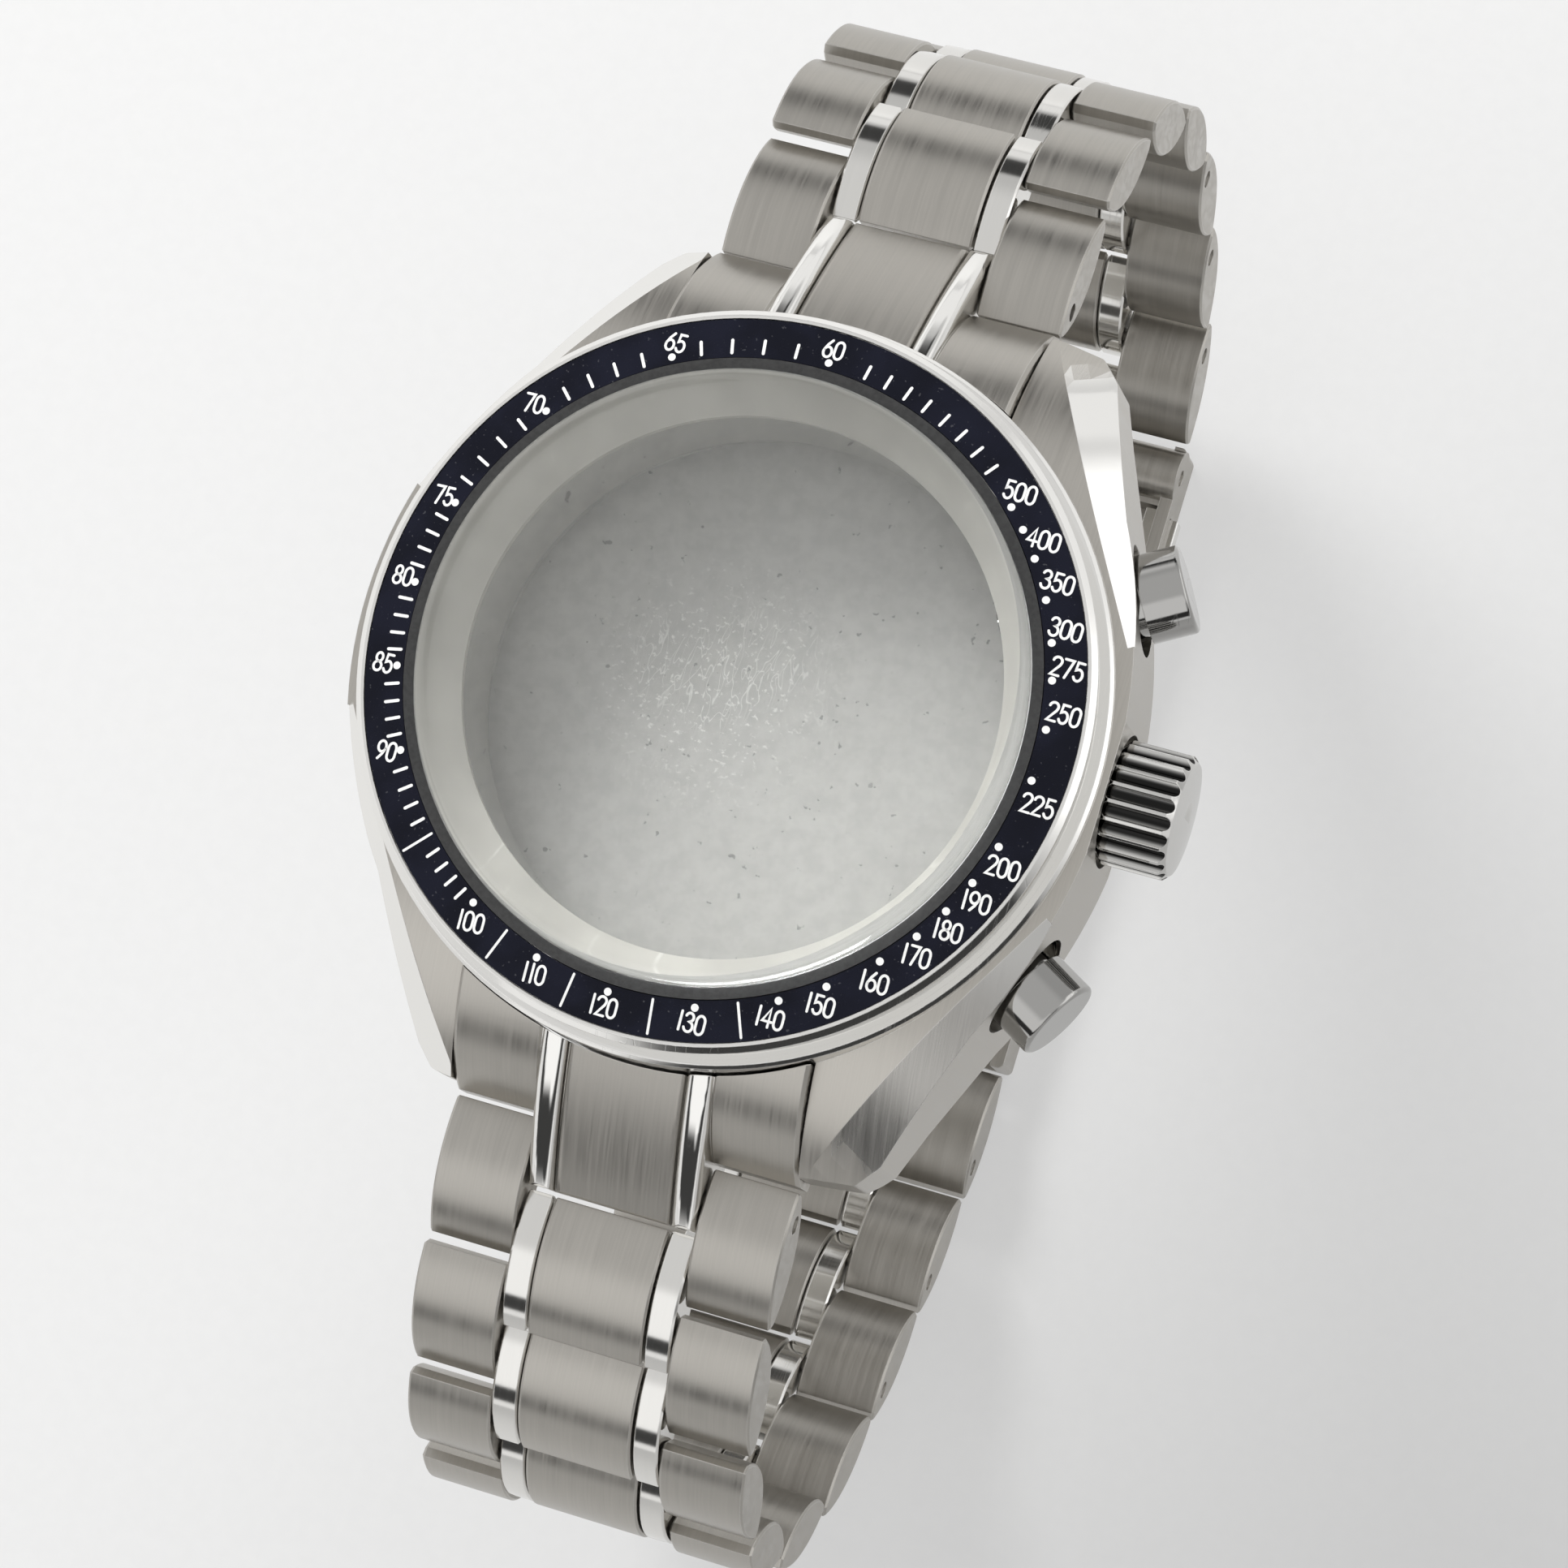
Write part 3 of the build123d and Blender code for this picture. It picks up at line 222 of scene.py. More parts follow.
class CASE_PG_glass(bpy.types.PropertyGroup):
    """Crystal and rubber seals."""

    tint: colour_setting("Crystal tint", "Colour of the crystal", (0.97, 0.98, 0.98))
    seal: colour_setting("Seal", "Colour of the rubber seals", (0.02, 0.02, 0.02))


class CASE_PG_stage(bpy.types.PropertyGroup):
    """Floor, lamps, room and camera."""

    floor: colour_setting("Floor", "Colour of the floor", (0.66, 0.66, 0.655))
    floor_white: share_setting(
        "White of the floor", "Share of plain white that the camera and the steel see on the floor", 0.45)
    # painted shade on the floor towards the lower right
    floor_fall: share_setting(
        "Floor at the right", "Share of its tone that the floor keeps at the lower right", 0.72)
    key: power_setting("Key lamp", "Power of the large lamp at the left", 5.2)
    fill: power_setting("Fill lamp", "Power of the lamp at the right", 0.1)
    room_high: bright_setting("Room above", "Brightness of the room overhead", 0.76)
    room_back: bright_setting("Room behind", "Brightness of the room behind the watch", 0.6)
    room_left: bright_setting("Room at the left", "Brightness of the room at the left", 1.1)
    room_right: bright_setting("Room at the right", "Brightness of the room at the right", 1.5)
    room_corner: bright_setting(
        "Room at the right front", "Brightness of the room at the right in front", 0.5)
    room_front: bright_setting(
        "Room in front", "Brightness of the room in front, over the dark band", 1.1)
    band: bright_setting("Dark band", "Brightness of the low dark bands in front and behind", 0.05)
    room_low: bright_setting("Room near the floor", "Brightness of the room close to the floor", 0.95)
    lens: FloatProperty(name="Lens", description="Focal length of the camera, in mm", min=1, default=132.74)
    place: FloatVectorProperty(
        name="Camera place", description="Where the camera stands", subtype="XYZ", unit="LENGTH",
        default=(0.07909, -0.04181, 0.29457))


# Node helpers


def new_finish(name):
    """New material, its tree and its shader."""
    finish = bpy.data.materials.new(name)
    finish.use_nodes = True
    tree = finish.node_tree
    return finish, tree, tree.nodes["Principled BSDF"]


def fill_in(tree, made, inputs):
    """Sets or links a node's inputs by name or number."""
    for key, value in inputs.items():
        if isinstance(value, bpy.types.NodeSocket):
            tree.links.new(value, made.inputs[key])
        else:
            made.inputs[key].default_value = value


def node(tree, kind, inputs, **settings):
    """One node with its settings and inputs."""
    made = tree.nodes.new(kind)
    for key, value in settings.items():
        setattr(made, key, value)
    fill_in(tree, made, inputs)
    return made


def math(tree, operation, a, b=0.0, clamp=False):
    return node(tree, "ShaderNodeMath", {0: a, 1: b}, operation=operation, use_clamp=clamp).outputs[0]


def times(tree, first, *others):
    """Product of two or more values."""
    product = first
    for other in others:
        product = math(tree, "MULTIPLY", product, other)
    return product


def reach(tree, a, b):
    """Length of a step with two sides at right angles."""
    return math(tree, "SQRT", math(tree, "ADD", math(tree, "POWER", a, 2.0), math(tree, "POWER", b, 2.0)))


def ramp(tree, value, low, high, at_low=0.0, at_high=1.0, smooth=True):
    """Value turned from one range into another, held at both ends."""
    kind = "SMOOTHSTEP" if smooth else "LINEAR"
    return node(tree, "ShaderNodeMapRange",
                {"Value": value, "From Min": low, "From Max": high, "To Min": at_low, "To Max": at_high},
                interpolation_type=kind).outputs["Result"]


def blend_values(tree, factor, a, b):
    return node(tree, "ShaderNodeMix", {"Factor": factor, 2: a, 3: b}, data_type="FLOAT").outputs[0]


def blend_colours(tree, factor, a, b, how="MIX"):
    a, b = (value if isinstance(value, bpy.types.NodeSocket) else (*value, 1) for value in (a, b))
    return node(tree, "ShaderNodeMix", {"Factor": factor, 6: a, 7: b}, data_type="RGBA",
                blend_type=how).outputs[2]


def scaled(colour, share=1.0):
    return tuple(share * c for c in colour)


def dimmed(tree, tone, share):
    """A tone with each of its channels multiplied by one value."""
    grey = node(tree, "ShaderNodeCombineColor", {0: share, 1: share, 2: share}).outputs[0]
    return blend_colours(tree, 1.0, tone, grey, "MULTIPLY")


def place(tree, scale=(1, 1, 1), turn=(0, 0, 0)):
    """Place on the object in metres, stretched and turned."""
    coordinates = node(tree, "ShaderNodeTexCoord", {})
    return node(tree, "ShaderNodeMapping",
                {"Vector": coordinates.outputs["Object"], "Scale": scale, "Rotation": turn}).outputs[0]


def axes(tree, vector):
    return node(tree, "ShaderNodeSeparateXYZ", {0: vector}).outputs


def facing_here(tree):
    """Direction that the surface faces."""
    return axes(tree, node(tree, "ShaderNodeNewGeometry", {}).outputs["True Normal"])


def noise(tree, vector, scale=1.0, detail=2.0, roughness=0.5, distortion=0.0):
    return node(tree, "ShaderNodeTexNoise",
                {"Vector": vector, "Scale": scale, "Detail": detail, "Roughness": roughness,
                 "Distortion": distortion}).outputs["Fac"]


def hairlines(tree, turn, width=0.012, across=900.0, along=45.0):
    """Fine scratches that run one way, as a mask."""
    lines = noise(tree, place(tree, (across, along, along), (0, 0, turn)), 1.0, 1.0, 0.5, 0.4)
    off = math(tree, "ABSOLUTE", math(tree, "SUBTRACT", lines, 0.5))
    return ramp(tree, off, 0.0, width, 1.0, 0.0)


def paint(name, finish):
    """Gives a CAD node its finish."""
    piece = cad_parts[name]
    piece.data.materials.clear()
    piece.data.materials.append(finish)


def straight_grain(tree, steel):
    """Two layers of brushed lines that run along the bracelet."""
    line = 1 / steel.grain
    slow = line / 40
    fine = noise(tree, place(tree, (line, slow, slow)), 1.0, 3.0, 0.6)
    wide = noise(tree, place(tree, (line / 4, slow / 3, slow / 3)), 1.0, 2.0, 0.5)
    return math(tree, "ADD", times(tree, fine, 0.6), times(tree, wide, 0.4))


def sun_grain(tree, steel):
    """Brushed lines that run round the dial axis."""
    spot = axes(tree, place(tree))
    radius = times(tree, reach(tree, spot[0], spot[1]), 1 / steel.grain)
    ring = node(tree, "ShaderNodeCombineXYZ", {0: radius, 1: 0.0, 2: 0.0})
    return noise(tree, ring.outputs[0], 1.0, 3.0, 0.6)


def bump(tree, height, strength, depth, normal=None):
    inputs = {"Height": height, "Strength": strength, "Distance": depth}
    if normal is not None:
        inputs["Normal"] = normal
    return node(tree, "ShaderNodeBump", inputs).outputs[0]


def round_edges(tree, steel):
    """Normal that rounds off sharp edges, and a mask of those edges."""
    rounded = node(tree, "ShaderNodeBevel", {"Radius": steel.edge_round}, samples=4).outputs[0]
    flat = node(tree, "ShaderNodeNewGeometry", {}).outputs["True Normal"]
    same = node(tree, "ShaderNodeVectorMath", {0: rounded, 1: flat}, operation="DOT_PRODUCT").outputs["Value"]
    return rounded, ramp(tree, same, *EDGE_RANGE)


# Steels


def make_steel(name, steel, kind, mask=None, dim=1.0):
    """Steel that is brushed, polished or satin, or brushed where a mask is 0 and polished where it is 1.

    The mask is a function of the tree, and dim is the share of the steel's tone that is kept.
    """
    finish, tree, shader = new_finish(name)
    rounded, edge = round_edges(tree, steel)
    streak = straight_grain(tree, steel)
    cloud = noise(tree, place(tree), 420.0, 4.0, 0.6)
    scratch = math(tree, "MAXIMUM", hairlines(tree, 0.5), hairlines(tree, 2.2, 0.008, 700.0, 60.0))
    shine = mask(tree) if mask else SHINES[kind]
    # scratches show only on polished steel
    worn = times(tree, scratch, ramp(tree, noise(tree, place(tree), 160.0), 0.45, 0.7), shine)
    brushed_rough = math(tree, "ADD", steel.brushed_rough - BRUSHED_DROP, times(tree, streak, BRUSHED_SPREAD))
    polished_rough = math(tree, "ADD", steel.polished_rough - POLISHED_DROP,
                          times(tree, cloud, POLISHED_SPREAD))
    rough = math(tree, "ADD", blend_values(tree, shine, brushed_rough, polished_rough),
                 times(tree, worn, SCRATCH_ROUGH))
    if kind == "satin":
        tone = tuple(steel.satin)
    else:
        tone = blend_colours(tree, shine, scaled(steel.brushed, dim), scaled(steel.polished, min(1.0, dim)))
    shade = ramp(tree, streak, *NOISE_RANGE, *GRAIN_SHADES, smooth=False)
    tone = dimmed(tree, tone, blend_values(tree, shine, shade, 1.0))
    # edges lighter: partly edge wear, partly painted highlight on the edges
    tone = blend_colours(tree, times(tree, edge, EDGE_SHARE), tone, WORN_AND_LIT_EDGE_TONE)
    lift = math(tree, "SUBTRACT", times(tree, streak, blend_values(tree, shine, 1.0, 0.03)),
                times(tree, worn, 0.12))
    fill_in(tree, shader, {"Base Color": tone, "Roughness": rough, "Metallic": 1.0,
                           "Normal": bump(tree, lift, 0.6, LINE_RELIEF, rounded)})
    if kind == "brushed":
        across = node(tree, "ShaderNodeCombineXYZ", {0: 1.0, 1: 0.0, 2: 0.0}).outputs[0]
        fill_in(tree, shader, {"Tangent": across, "Anisotropic": steel.stretch})
    return finish


def make_rehaut(steel):
    """Fine matt steel of the ring under the crystal, with a few lighter hairline streaks in patches."""
    finish, tree, shader = new_finish("rehaut steel")
    cloud = noise(tree, place(tree), 260.0, 3.0, 0.5)
    grit = noise(tree, place(tree), 5200.0, 2.0, 0.5)
    # lighter hairline streaks in cloudy patches
    light_streak = times(tree, hairlines(tree, 0.7, 0.02, 260.0, 40.0), ramp(tree, cloud, 0.5, 0.7))
    tone = blend_colours(tree, ramp(tree, cloud, *NOISE_RANGE), scaled(steel.rehaut, 0.92),
                         scaled(steel.rehaut, 1.06))
    tone = blend_colours(tree, times(tree, light_streak, 0.35), tone, LIGHT_STREAK_TONE)
    relief = math(tree, "ADD", grit, times(tree, light_streak, 0.6))
    fill_in(tree, shader, {"Base Color": tone, "Roughness": ramp(tree, cloud, *NOISE_RANGE, 0.34, 0.46),
                           "Metallic": REHAUT_METAL, "Normal": bump(tree, relief, 0.15, FINE_RELIEF)})
    return finish


def make_crown_steel(steel):
    """Polished steel of the crown, with painted shade in the grooves round its side."""
    finish = make_steel("crown steel", steel, "polished", dim=CROWN_PAINTED_DARK)
    tree = finish.node_tree
    shader = tree.nodes["Principled BSDF"]
    spot = axes(tree, place(tree))
    up = math(tree, "SUBTRACT", spot[2], (CROWN_LOW.z + CROWN_HIGH.z) / 2)
    # the smooth end face counts as a crest
    face = times(tree, CROWN_HIGH.y, ramp(tree, facing_here(tree)[0], 0.3, 0.5))
    out = math(tree, "ADD", reach(tree, spot[1], up), face)
    # painted shade: the tone falls almost to black towards the bottom of each groove
    shade = ramp(tree, out, CROWN_HIGH.y - GROOVE_DEPTH, CROWN_HIGH.y - GROOVE_LIP, GROOVE_PAINTED_SHADE, 1.0)
    tone = shader.inputs["Base Color"].links[0].from_socket
    fill_in(tree, shader, {"Base Color": dimmed(tree, tone, shade)})
    return finish


def make_inner_floor(steel):
    """Circular brushed outside of the case back, with its bare, scuffed and speckled inside."""
    finish, tree, shader = new_finish("case back steel")
    spot = axes(tree, place(tree))
    thickness = BACK_HIGH.z - BACK_LOW.z
    inside = ramp(tree, spot[2], *(BACK_LOW.z + share * thickness for share in FLOOR_SHARES))
    streak = sun_grain(tree, steel)
    cloud = noise(tree, place(tree), 140.0, 5.0, 0.6)
    patch = noise(tree, place(tree), 900.0, 4.0, 0.65)
    pit = ramp(tree, noise(tree, place(tree), 1900.0, 2.0, 0.5), 0.70, 0.75)
    off = [math(tree, "SUBTRACT", spot[i], SCUFF_MIDDLE[i]) for i in (0, 1)]
    near = ramp(tree, reach(tree, *off), *SCUFF_REACH)
    rubbed = noise(tree, place(tree, (2300, 3100, 900), (0, 0, 0.9)), 1.0, 4.0, 0.65)
    scuff = times(tree, ramp(tree, rubbed, 0.57, 0.66), near)
    lines = math(tree, "MAXIMUM", hairlines(tree, 0.9, 0.014, 1500.0, 420.0),
                 hairlines(tree, 2.3, 0.014, 1300.0, 380.0))
    scratch = times(tree, lines, times(tree, near, ramp(tree, cloud, 0.45, 0.6)))
    bare = blend_colours(tree, ramp(tree, patch, *NOISE_RANGE), scaled(steel.inner_floor, 0.93),
                         scaled(steel.inner_floor, 1.05))
    bare = blend_colours(tree, times(tree, math(tree, "MAXIMUM", scuff, scratch), 0.55), bare, SCUFF_TONE)
    bare = blend_colours(tree, times(tree, pit, 0.6), bare, PIT_TONE)
    brushed = dimmed(tree, tuple(steel.satin), ramp(tree, streak, *NOISE_RANGE, *SUN_SHADES, smooth=False))
    rough = blend_values(tree, inside, ramp(tree, streak, *NOISE_RANGE, 0.2, 0.36),
                         ramp(tree, cloud, 0.35, 0.65, 0.55, 0.68))
    height = blend_values(tree, inside, times(tree, streak, 0.4),
                          math(tree, "SUBTRACT", times(tree, cloud, 0.6), math(tree, "ADD", pit, scratch)))
    fill_in(tree, shader, {"Base Color": blend_colours(tree, inside, brushed, bare), "Roughness": rough,
                           "Metallic": math(tree, "SUBTRACT", 1.0, times(tree, inside, 1 - FLOOR_METAL)),
                           "Normal": bump(tree, height, 0.5, COARSE_RELIEF)})
    return finish


# Masks of the polished parts


def case_shine(tree):
    """Bevels and ledge are polished; the lug tops, flanks and the lugs' ends are brushed."""
    spot = axes(tree, place(tree))
    facing = facing_here(tree)
    across = math(tree, "ABSOLUTE", facing[0])
    bevel = times(tree, ramp(tree, across, *BEVEL_ACROSS), ramp(tree, facing[2], *BEVEL_UP))
    # the lower right bevel is only half polished
    soft = times(tree, ramp(tree, spot[0], *SOFT_BEVEL_X), ramp(tree, spot[1], *SOFT_BEVEL_Y))
    bevel = times(tree, bevel, math(tree, "SUBTRACT", 1.0, times(tree, soft, SOFT_BEVEL)))
    ledge = ramp(tree, reach(tree, spot[0], spot[1]), LEDGE_RADIUS + SEAM, LEDGE_RADIUS - SEAM)
    return math(tree, "MAXIMUM", bevel, ledge, clamp=True)


def centre_shine(tree):
    """The bars beside the brushed centre are nearly polished."""
    out = math(tree, "ABSOLUTE", axes(tree, place(tree))[0])
    return ramp(tree, out, CENTRE_HALF_WIDTH - SEAM, CENTRE_HALF_WIDTH + SEAM, 0.0, BAR_SHINE)


def end_link_shine(tree):
    """The two ribs of an end link are polished."""
    out = math(tree, "ABSOLUTE", axes(tree, place(tree))[0])
    return times(tree, ramp(tree, out, CENTRE_HALF_WIDTH - SEAM, CENTRE_HALF_WIDTH + SEAM),
                 ramp(tree, out, RIB_OUTER + SEAM, RIB_OUTER - SEAM))


# Operators


class CASE_OT_case_middle(bpy.types.Operator):
    """Finish the case middle: brushed lug tops and polished bevels"""

    bl_idname = "watch_case.case_middle"
    bl_label = "Case middle"

    def execute(self, context):
        steel = context.scene.watch_steel
        finish = make_steel("case steel", steel, "brushed", case_shine, CASE_DIM)
        paint("case_middle", finish)
        return {"FINISHED"}


class CASE_OT_bezel(bpy.types.Operator):
    """Finish the bezel and the rehaut ring"""

    bl_idname = "watch_case.bezel"
    bl_label = "Bezel and rehaut"

    def execute(self, context):
        steel = context.scene.watch_steel
        paint("bezel", make_steel("bezel steel", steel, "polished"))
        paint("rehaut_ring", make_rehaut(steel))
        return {"FINISHED"}


def insert_height(radius):
    """Height of the insert's sloping top at a distance from the dial axis."""
    share = (radius - INSERT_INNER) / (INSERT_OUTER - INSERT_INNER)
    return INSERT_HIGH.z + share * (INSERT_EDGE_HEIGHT - INSERT_HIGH.z)


class CASE_OT_insert(bpy.types.Operator):
    """Finish the dark insert of the bezel and print its scale"""

    bl_idname = "watch_case.insert"
    bl_label = "Bezel insert and scale"

    def execute(self, context):
        scale = context.scene.watch_scale
        finish, tree, shader = new_finish("insert lacquer")
        grit = noise(tree, place(tree), 2600.0, 3.0, 0.6)
        cloud = noise(tree, place(tree), 300.0, 3.0, 0.5)
        dust = ramp(tree, noise(tree, place(tree), 5200.0, 1.0, 0.5), 0.72, 0.76)
        dark = blend_colours(tree, ramp(tree, cloud, 0.35, 0.65), scaled(scale.ground),
                             scaled(scale.ground, 1.7))
        tone = blend_colours(tree, times(tree, dust, 0.10), dark, DUST_TONE)
        fill_in(tree, shader, {"Base Color": tone, "Roughness": ramp(tree, grit, *NOISE_RANGE, 0.16, 0.3),
                               "Normal": bump(tree, grit, 0.25, FINE_RELIEF),
                               "Specular IOR Level": INSERT_GLOSS})
        paint("bezel_insert", finish)
        ink, tree, shader = new_finish("scale ink")
        speck = noise(tree, place(tree), 3000.0, 2.0, 0.5)
        worn = blend_colours(tree, ramp(tree, speck, *NOISE_RANGE), scaled(scale.ink),
                             scaled(scale.ink, 0.93))
        fill_in(tree, shader, {"Base Color": worn, "Roughness": ramp(tree, speck, *NOISE_RANGE, 0.35, 0.5)})
        print_scale(scale, ink)
        return {"FINISHED"}


def oval(x, y, half_width, half_height, start=0, finish=360):
    """Points round part of an oval, counted in degrees from +X."""
    steps = max(4, round(abs(finish - start) / OVAL_STEP))
    turn = [radians(start + (finish - start) * i / steps) for i in range(steps + 1)]
    return [(x + half_width * cos(a), y + half_height * sin(a)) for a in turn]


def digit_strokes():
    """Pen strokes of each digit, in a cell one high and half as wide, about its middle."""
    half, top, low = 0.23, 0.5, -0.5
    return {
        "0": [oval(0, 0.2, half, 0.3, 0, 180) + oval(0, -0.2, half, 0.3, 180, 360) + [(half, 0.2)]],
        "1": [[(0, low), (0, top)]],
        "2": [oval(0, 0.27, half, 0.23, 175, -20) + [(0.17, 0.07), (-half, low), (half, low)]],
        "3": [oval(-0.02, 0.27, 0.21, 0.23, 165, -90) + oval(-0.01, -0.23, 0.24, 0.27, 90, -165)],
        "4": [[(0.1, low), (0.1, top), (-0.26, -0.2), (0.26, -0.2)]],
        "5": [[(0.2, top), (-0.15, top), (-0.18, 0.06)] + oval(-0.01, -0.18, 0.23, 0.32, 125, -155)],
        "6": [[(0.12, top), (-0.08, 0.22)] + oval(0, -0.2, half, 0.3, 160, 520)],
        "7": [[(-half, top), (half, top), (-0.06, low)]],
        "8": [oval(0, 0.26, 0.19, 0.24), oval(0, -0.24, half, 0.26)],
        "9": [[(-0.12, low), (0.08, -0.22)] + oval(0, 0.2, half, 0.3, -20, 340)],
    }


def ribbon(mesh, points, half_width):
    """Adds a flat pen stroke with round ends along points, as one face per step."""
    closed = (Vector(points[0]) - Vector(points[-1])).length < half_width
    if closed:
        points = points[:-1]
    spots = [Vector(p) for p in points]
    count = len(spots)
    sides = []
    for i, spot in enumerate(spots):
        before = spots[i - 1] if i or closed else spot
        after = spots[(i + 1) % count] if i < count - 1 or closed else spot
        into = (spot - before).normalized() if spot != before else (after - spot).normalized()
        out = (after - spot).normalized() if after != spot else into
        along = (into + out).normalized()
        off = Vector((-along.y, along.x)) * half_width / max(SHARPEST_TURN, along.dot(out))
        sides.append([mesh.verts.new((*(spot + off), 0)), mesh.verts.new((*(spot - off), 0))])
    for i in range(count if closed else count - 1):
        (a, b), (c, d) = sides[i], sides[(i + 1) % count]
        mesh.faces.new((a, b, d, c))
    if not closed:
        ends = ((spots[0], spots[1], sides[0][::-1]), (spots[-1], spots[-2], sides[-1]))
        for end, inner, (left, right) in ends:
            away = (end - inner).normalized()
            side = Vector((-away.y, away.x))
            cap = [end + (side * cos(t) + away * sin(t)) * half_width
                   for t in (pi * k / CAP_STEPS for k in range(1, CAP_STEPS))]
            mesh.faces.new([left, right] + [mesh.verts.new((*spot, 0)) for spot in reversed(cap)])


def print_piece(name, shape, scale, ink):
    """Lays a flat print on the insert's slope and makes it a thin solid."""
    for vert in shape.verts:
        vert.co.z = insert_height(hypot(vert.co.x, vert.co.y)) + scale.thickness
    bmesh.ops.recalc_face_normals(shape, faces=shape.faces)
    mesh = bpy.data.meshes.new(name)
    shape.to_mesh(mesh)
    shape.free()
    piece = bpy.data.objects.new(name, mesh)
    context_collection().objects.link(piece)
    mesh.materials.append(ink)
    skin = piece.modifiers.new("print", "SOLIDIFY")
    skin.thickness = 2 * scale.thickness
    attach(piece, BODY)
    return piece


def on_dial(angle, radius):
    """Place at a clockwise angle from 12 o'clock."""
    return Vector((radius * sin(radians(angle)), radius * cos(radians(angle))))


def print_number(speed, angle, scale, ink):
    """One upright number, centred at its place on the insert."""
    strokes = digit_strokes()
    middle = on_dial(angle, scale.number_ring)
    text = str(speed)
    shape = bmesh.new()
    widths = [NARROW_SHARE if digit == "1" else 1.0 for digit in text]
    at = -sum(widths) / 2
    for digit, width in zip(text, widths):
        at += width / 2
        for stroke in strokes[digit]:
            points = [middle + Vector((x * scale.height + at * scale.spacing, y * scale.height))
                      for x, y in stroke]
            ribbon(shape, points, scale.stroke / 2)
        at += width / 2
    return print_piece(f"scale_number_{speed}", shape, scale, ink)


def print_tick(shape, angle, scale):
    ribbon(shape, [on_dial(angle, scale.tick_start), on_dial(angle, scale.tick_end)], scale.tick_width / 2)


def print_scale(scale, ink):
    """Numbers, dots, ticks and lines of the scale."""
    for speed, dot_angle, number_angle in SCALE_MARKS:
        if number_angle is not None:
            print_number(speed, number_angle, scale, ink)
        shape = bmesh.new()
        bmesh.ops.create_circle(shape, cap_ends=True, segments=DOT_SIDES, radius=scale.dot,
                                matrix=Matrix.Translation((*on_dial(dot_angle, scale.dot_ring), 0)))
        print_piece(f"scale_dot_{speed}", shape, scale, ink)
    ticks = bmesh.new()
    lines = bmesh.new()
    marks = sorted((speed, dot_angle) for speed, dot_angle, _ in SCALE_MARKS)
    for (low, low_angle), (high, high_angle) in zip(marks, marks[1:]):
        if low >= LAST_LINED_SPEED:
            continue
        sweep = (low_angle - high_angle) % 360
        steps = high - low
        for step in range(1, steps):
            share = (1 / low - 1 / (low + step)) / (1 / low - 1 / high)
            angle = low_angle - sweep * share
            if steps > SHORT_STEPS and step == steps // 2:
                line = [on_dial(angle, scale.line_start), on_dial(angle, scale.line_end)]
                ribbon(lines, line, scale.stroke / 2)
            elif low < FIRST_BARE_SPEED:
                print_tick(ticks, angle, scale)
    print_piece("scale_ticks", ticks, scale, ink)
    print_piece("scale_lines", lines, scale, ink)
    arc = bmesh.new()
    for step in range(ARC_TICKS):
        print_tick(arc, ARC_START + (ARC_END - ARC_START) * step / (ARC_TICKS - 1), scale)
    print_piece("scale_arc_ticks", arc, scale, ink)


def context_collection():
    return bpy.context.scene.collection


class CASE_OT_crystal(bpy.types.Operator):
    """Finish the domed crystal and the seals"""

    bl_idname = "watch_case.crystal"
    bl_label = "Crystal and seals"

    def execute(self, context):
        glass = context.scene.watch_glass
        finish, tree, shader = new_finish("crystal")
        smear = noise(tree, place(tree), 90.0, 4.0, 0.6)
        fill_in(tree, shader, {"Base Color": (*glass.tint, 1), "Transmission Weight": 1.0, "IOR": GLASS_IOR,
                               "Roughness": ramp(tree, smear, 0.5, 0.8, 0.0, 0.06)})
        # the glass lets the lamps through without a shadow
        clear = node(tree, "ShaderNodeBsdfTransparent", {"Color": (*glass.tint, 1)})
        path = node(tree, "ShaderNodeLightPath", {}).outputs
        both = node(tree, "ShaderNodeMixShader", {0: path["Is Shadow Ray"], 1: shader.outputs[0],
                                                  2: clear.outputs[0]})
        fill_in(tree, tree.nodes["Material Output"], {"Surface": both.outputs[0]})
        paint("crystal", finish)
        rubber, tree, shader = new_finish("seal rubber")
        grit = noise(tree, place(tree), 4000.0, 3.0, 0.6)
        tone = blend_colours(tree, ramp(tree, grit, *NOISE_RANGE), scaled(glass.seal),
                             scaled(glass.seal, 2.0))
        fill_in(tree, shader, {"Base Color": tone, "Roughness": ramp(tree, grit, *NOISE_RANGE, 0.5, 0.7),
                               "Normal": bump(tree, grit, 0.3, COARSE_RELIEF)})
        for name in ("crystal_gasket", "case_back_gasket", "crown_gasket", "pusher_seal_upper",
                     "pusher_seal_lower"):
            paint(name, rubber)
        return {"FINISHED"}


class CASE_OT_case_back(bpy.types.Operator):
    """Finish the case back"""

    bl_idname = "watch_case.case_back"
    bl_label = "Case back"

    def execute(self, context):
        steel = context.scene.watch_steel
        paint("case_back", make_inner_floor(steel))
        return {"FINISHED"}


class CASE_OT_controls(bpy.types.Operator):
    """Finish the crown and the pushers"""

    bl_idname = "watch_case.controls"
    bl_label = "Crown and pushers"

    def execute(self, context):
        steel = context.scene.watch_steel
        # the pushers and their tubes are painted darker than polished steel: painted dark reflections
        polished = make_steel("control steel", steel, "polished", dim=PUSHER_PAINTED_DARK)
        paint("crown", make_crown_steel(steel))
        for name in ("crown_tube", "pusher_upper", "pusher_lower", "pusher_tube_upper", "pusher_tube_lower"):
            paint(name, polished)
        wire = make_steel("spring wire", steel, "satin")
        for name in ("pusher_spring_upper", "pusher_spring_lower"):
            paint(name, wire)
        return {"FINISHED"}


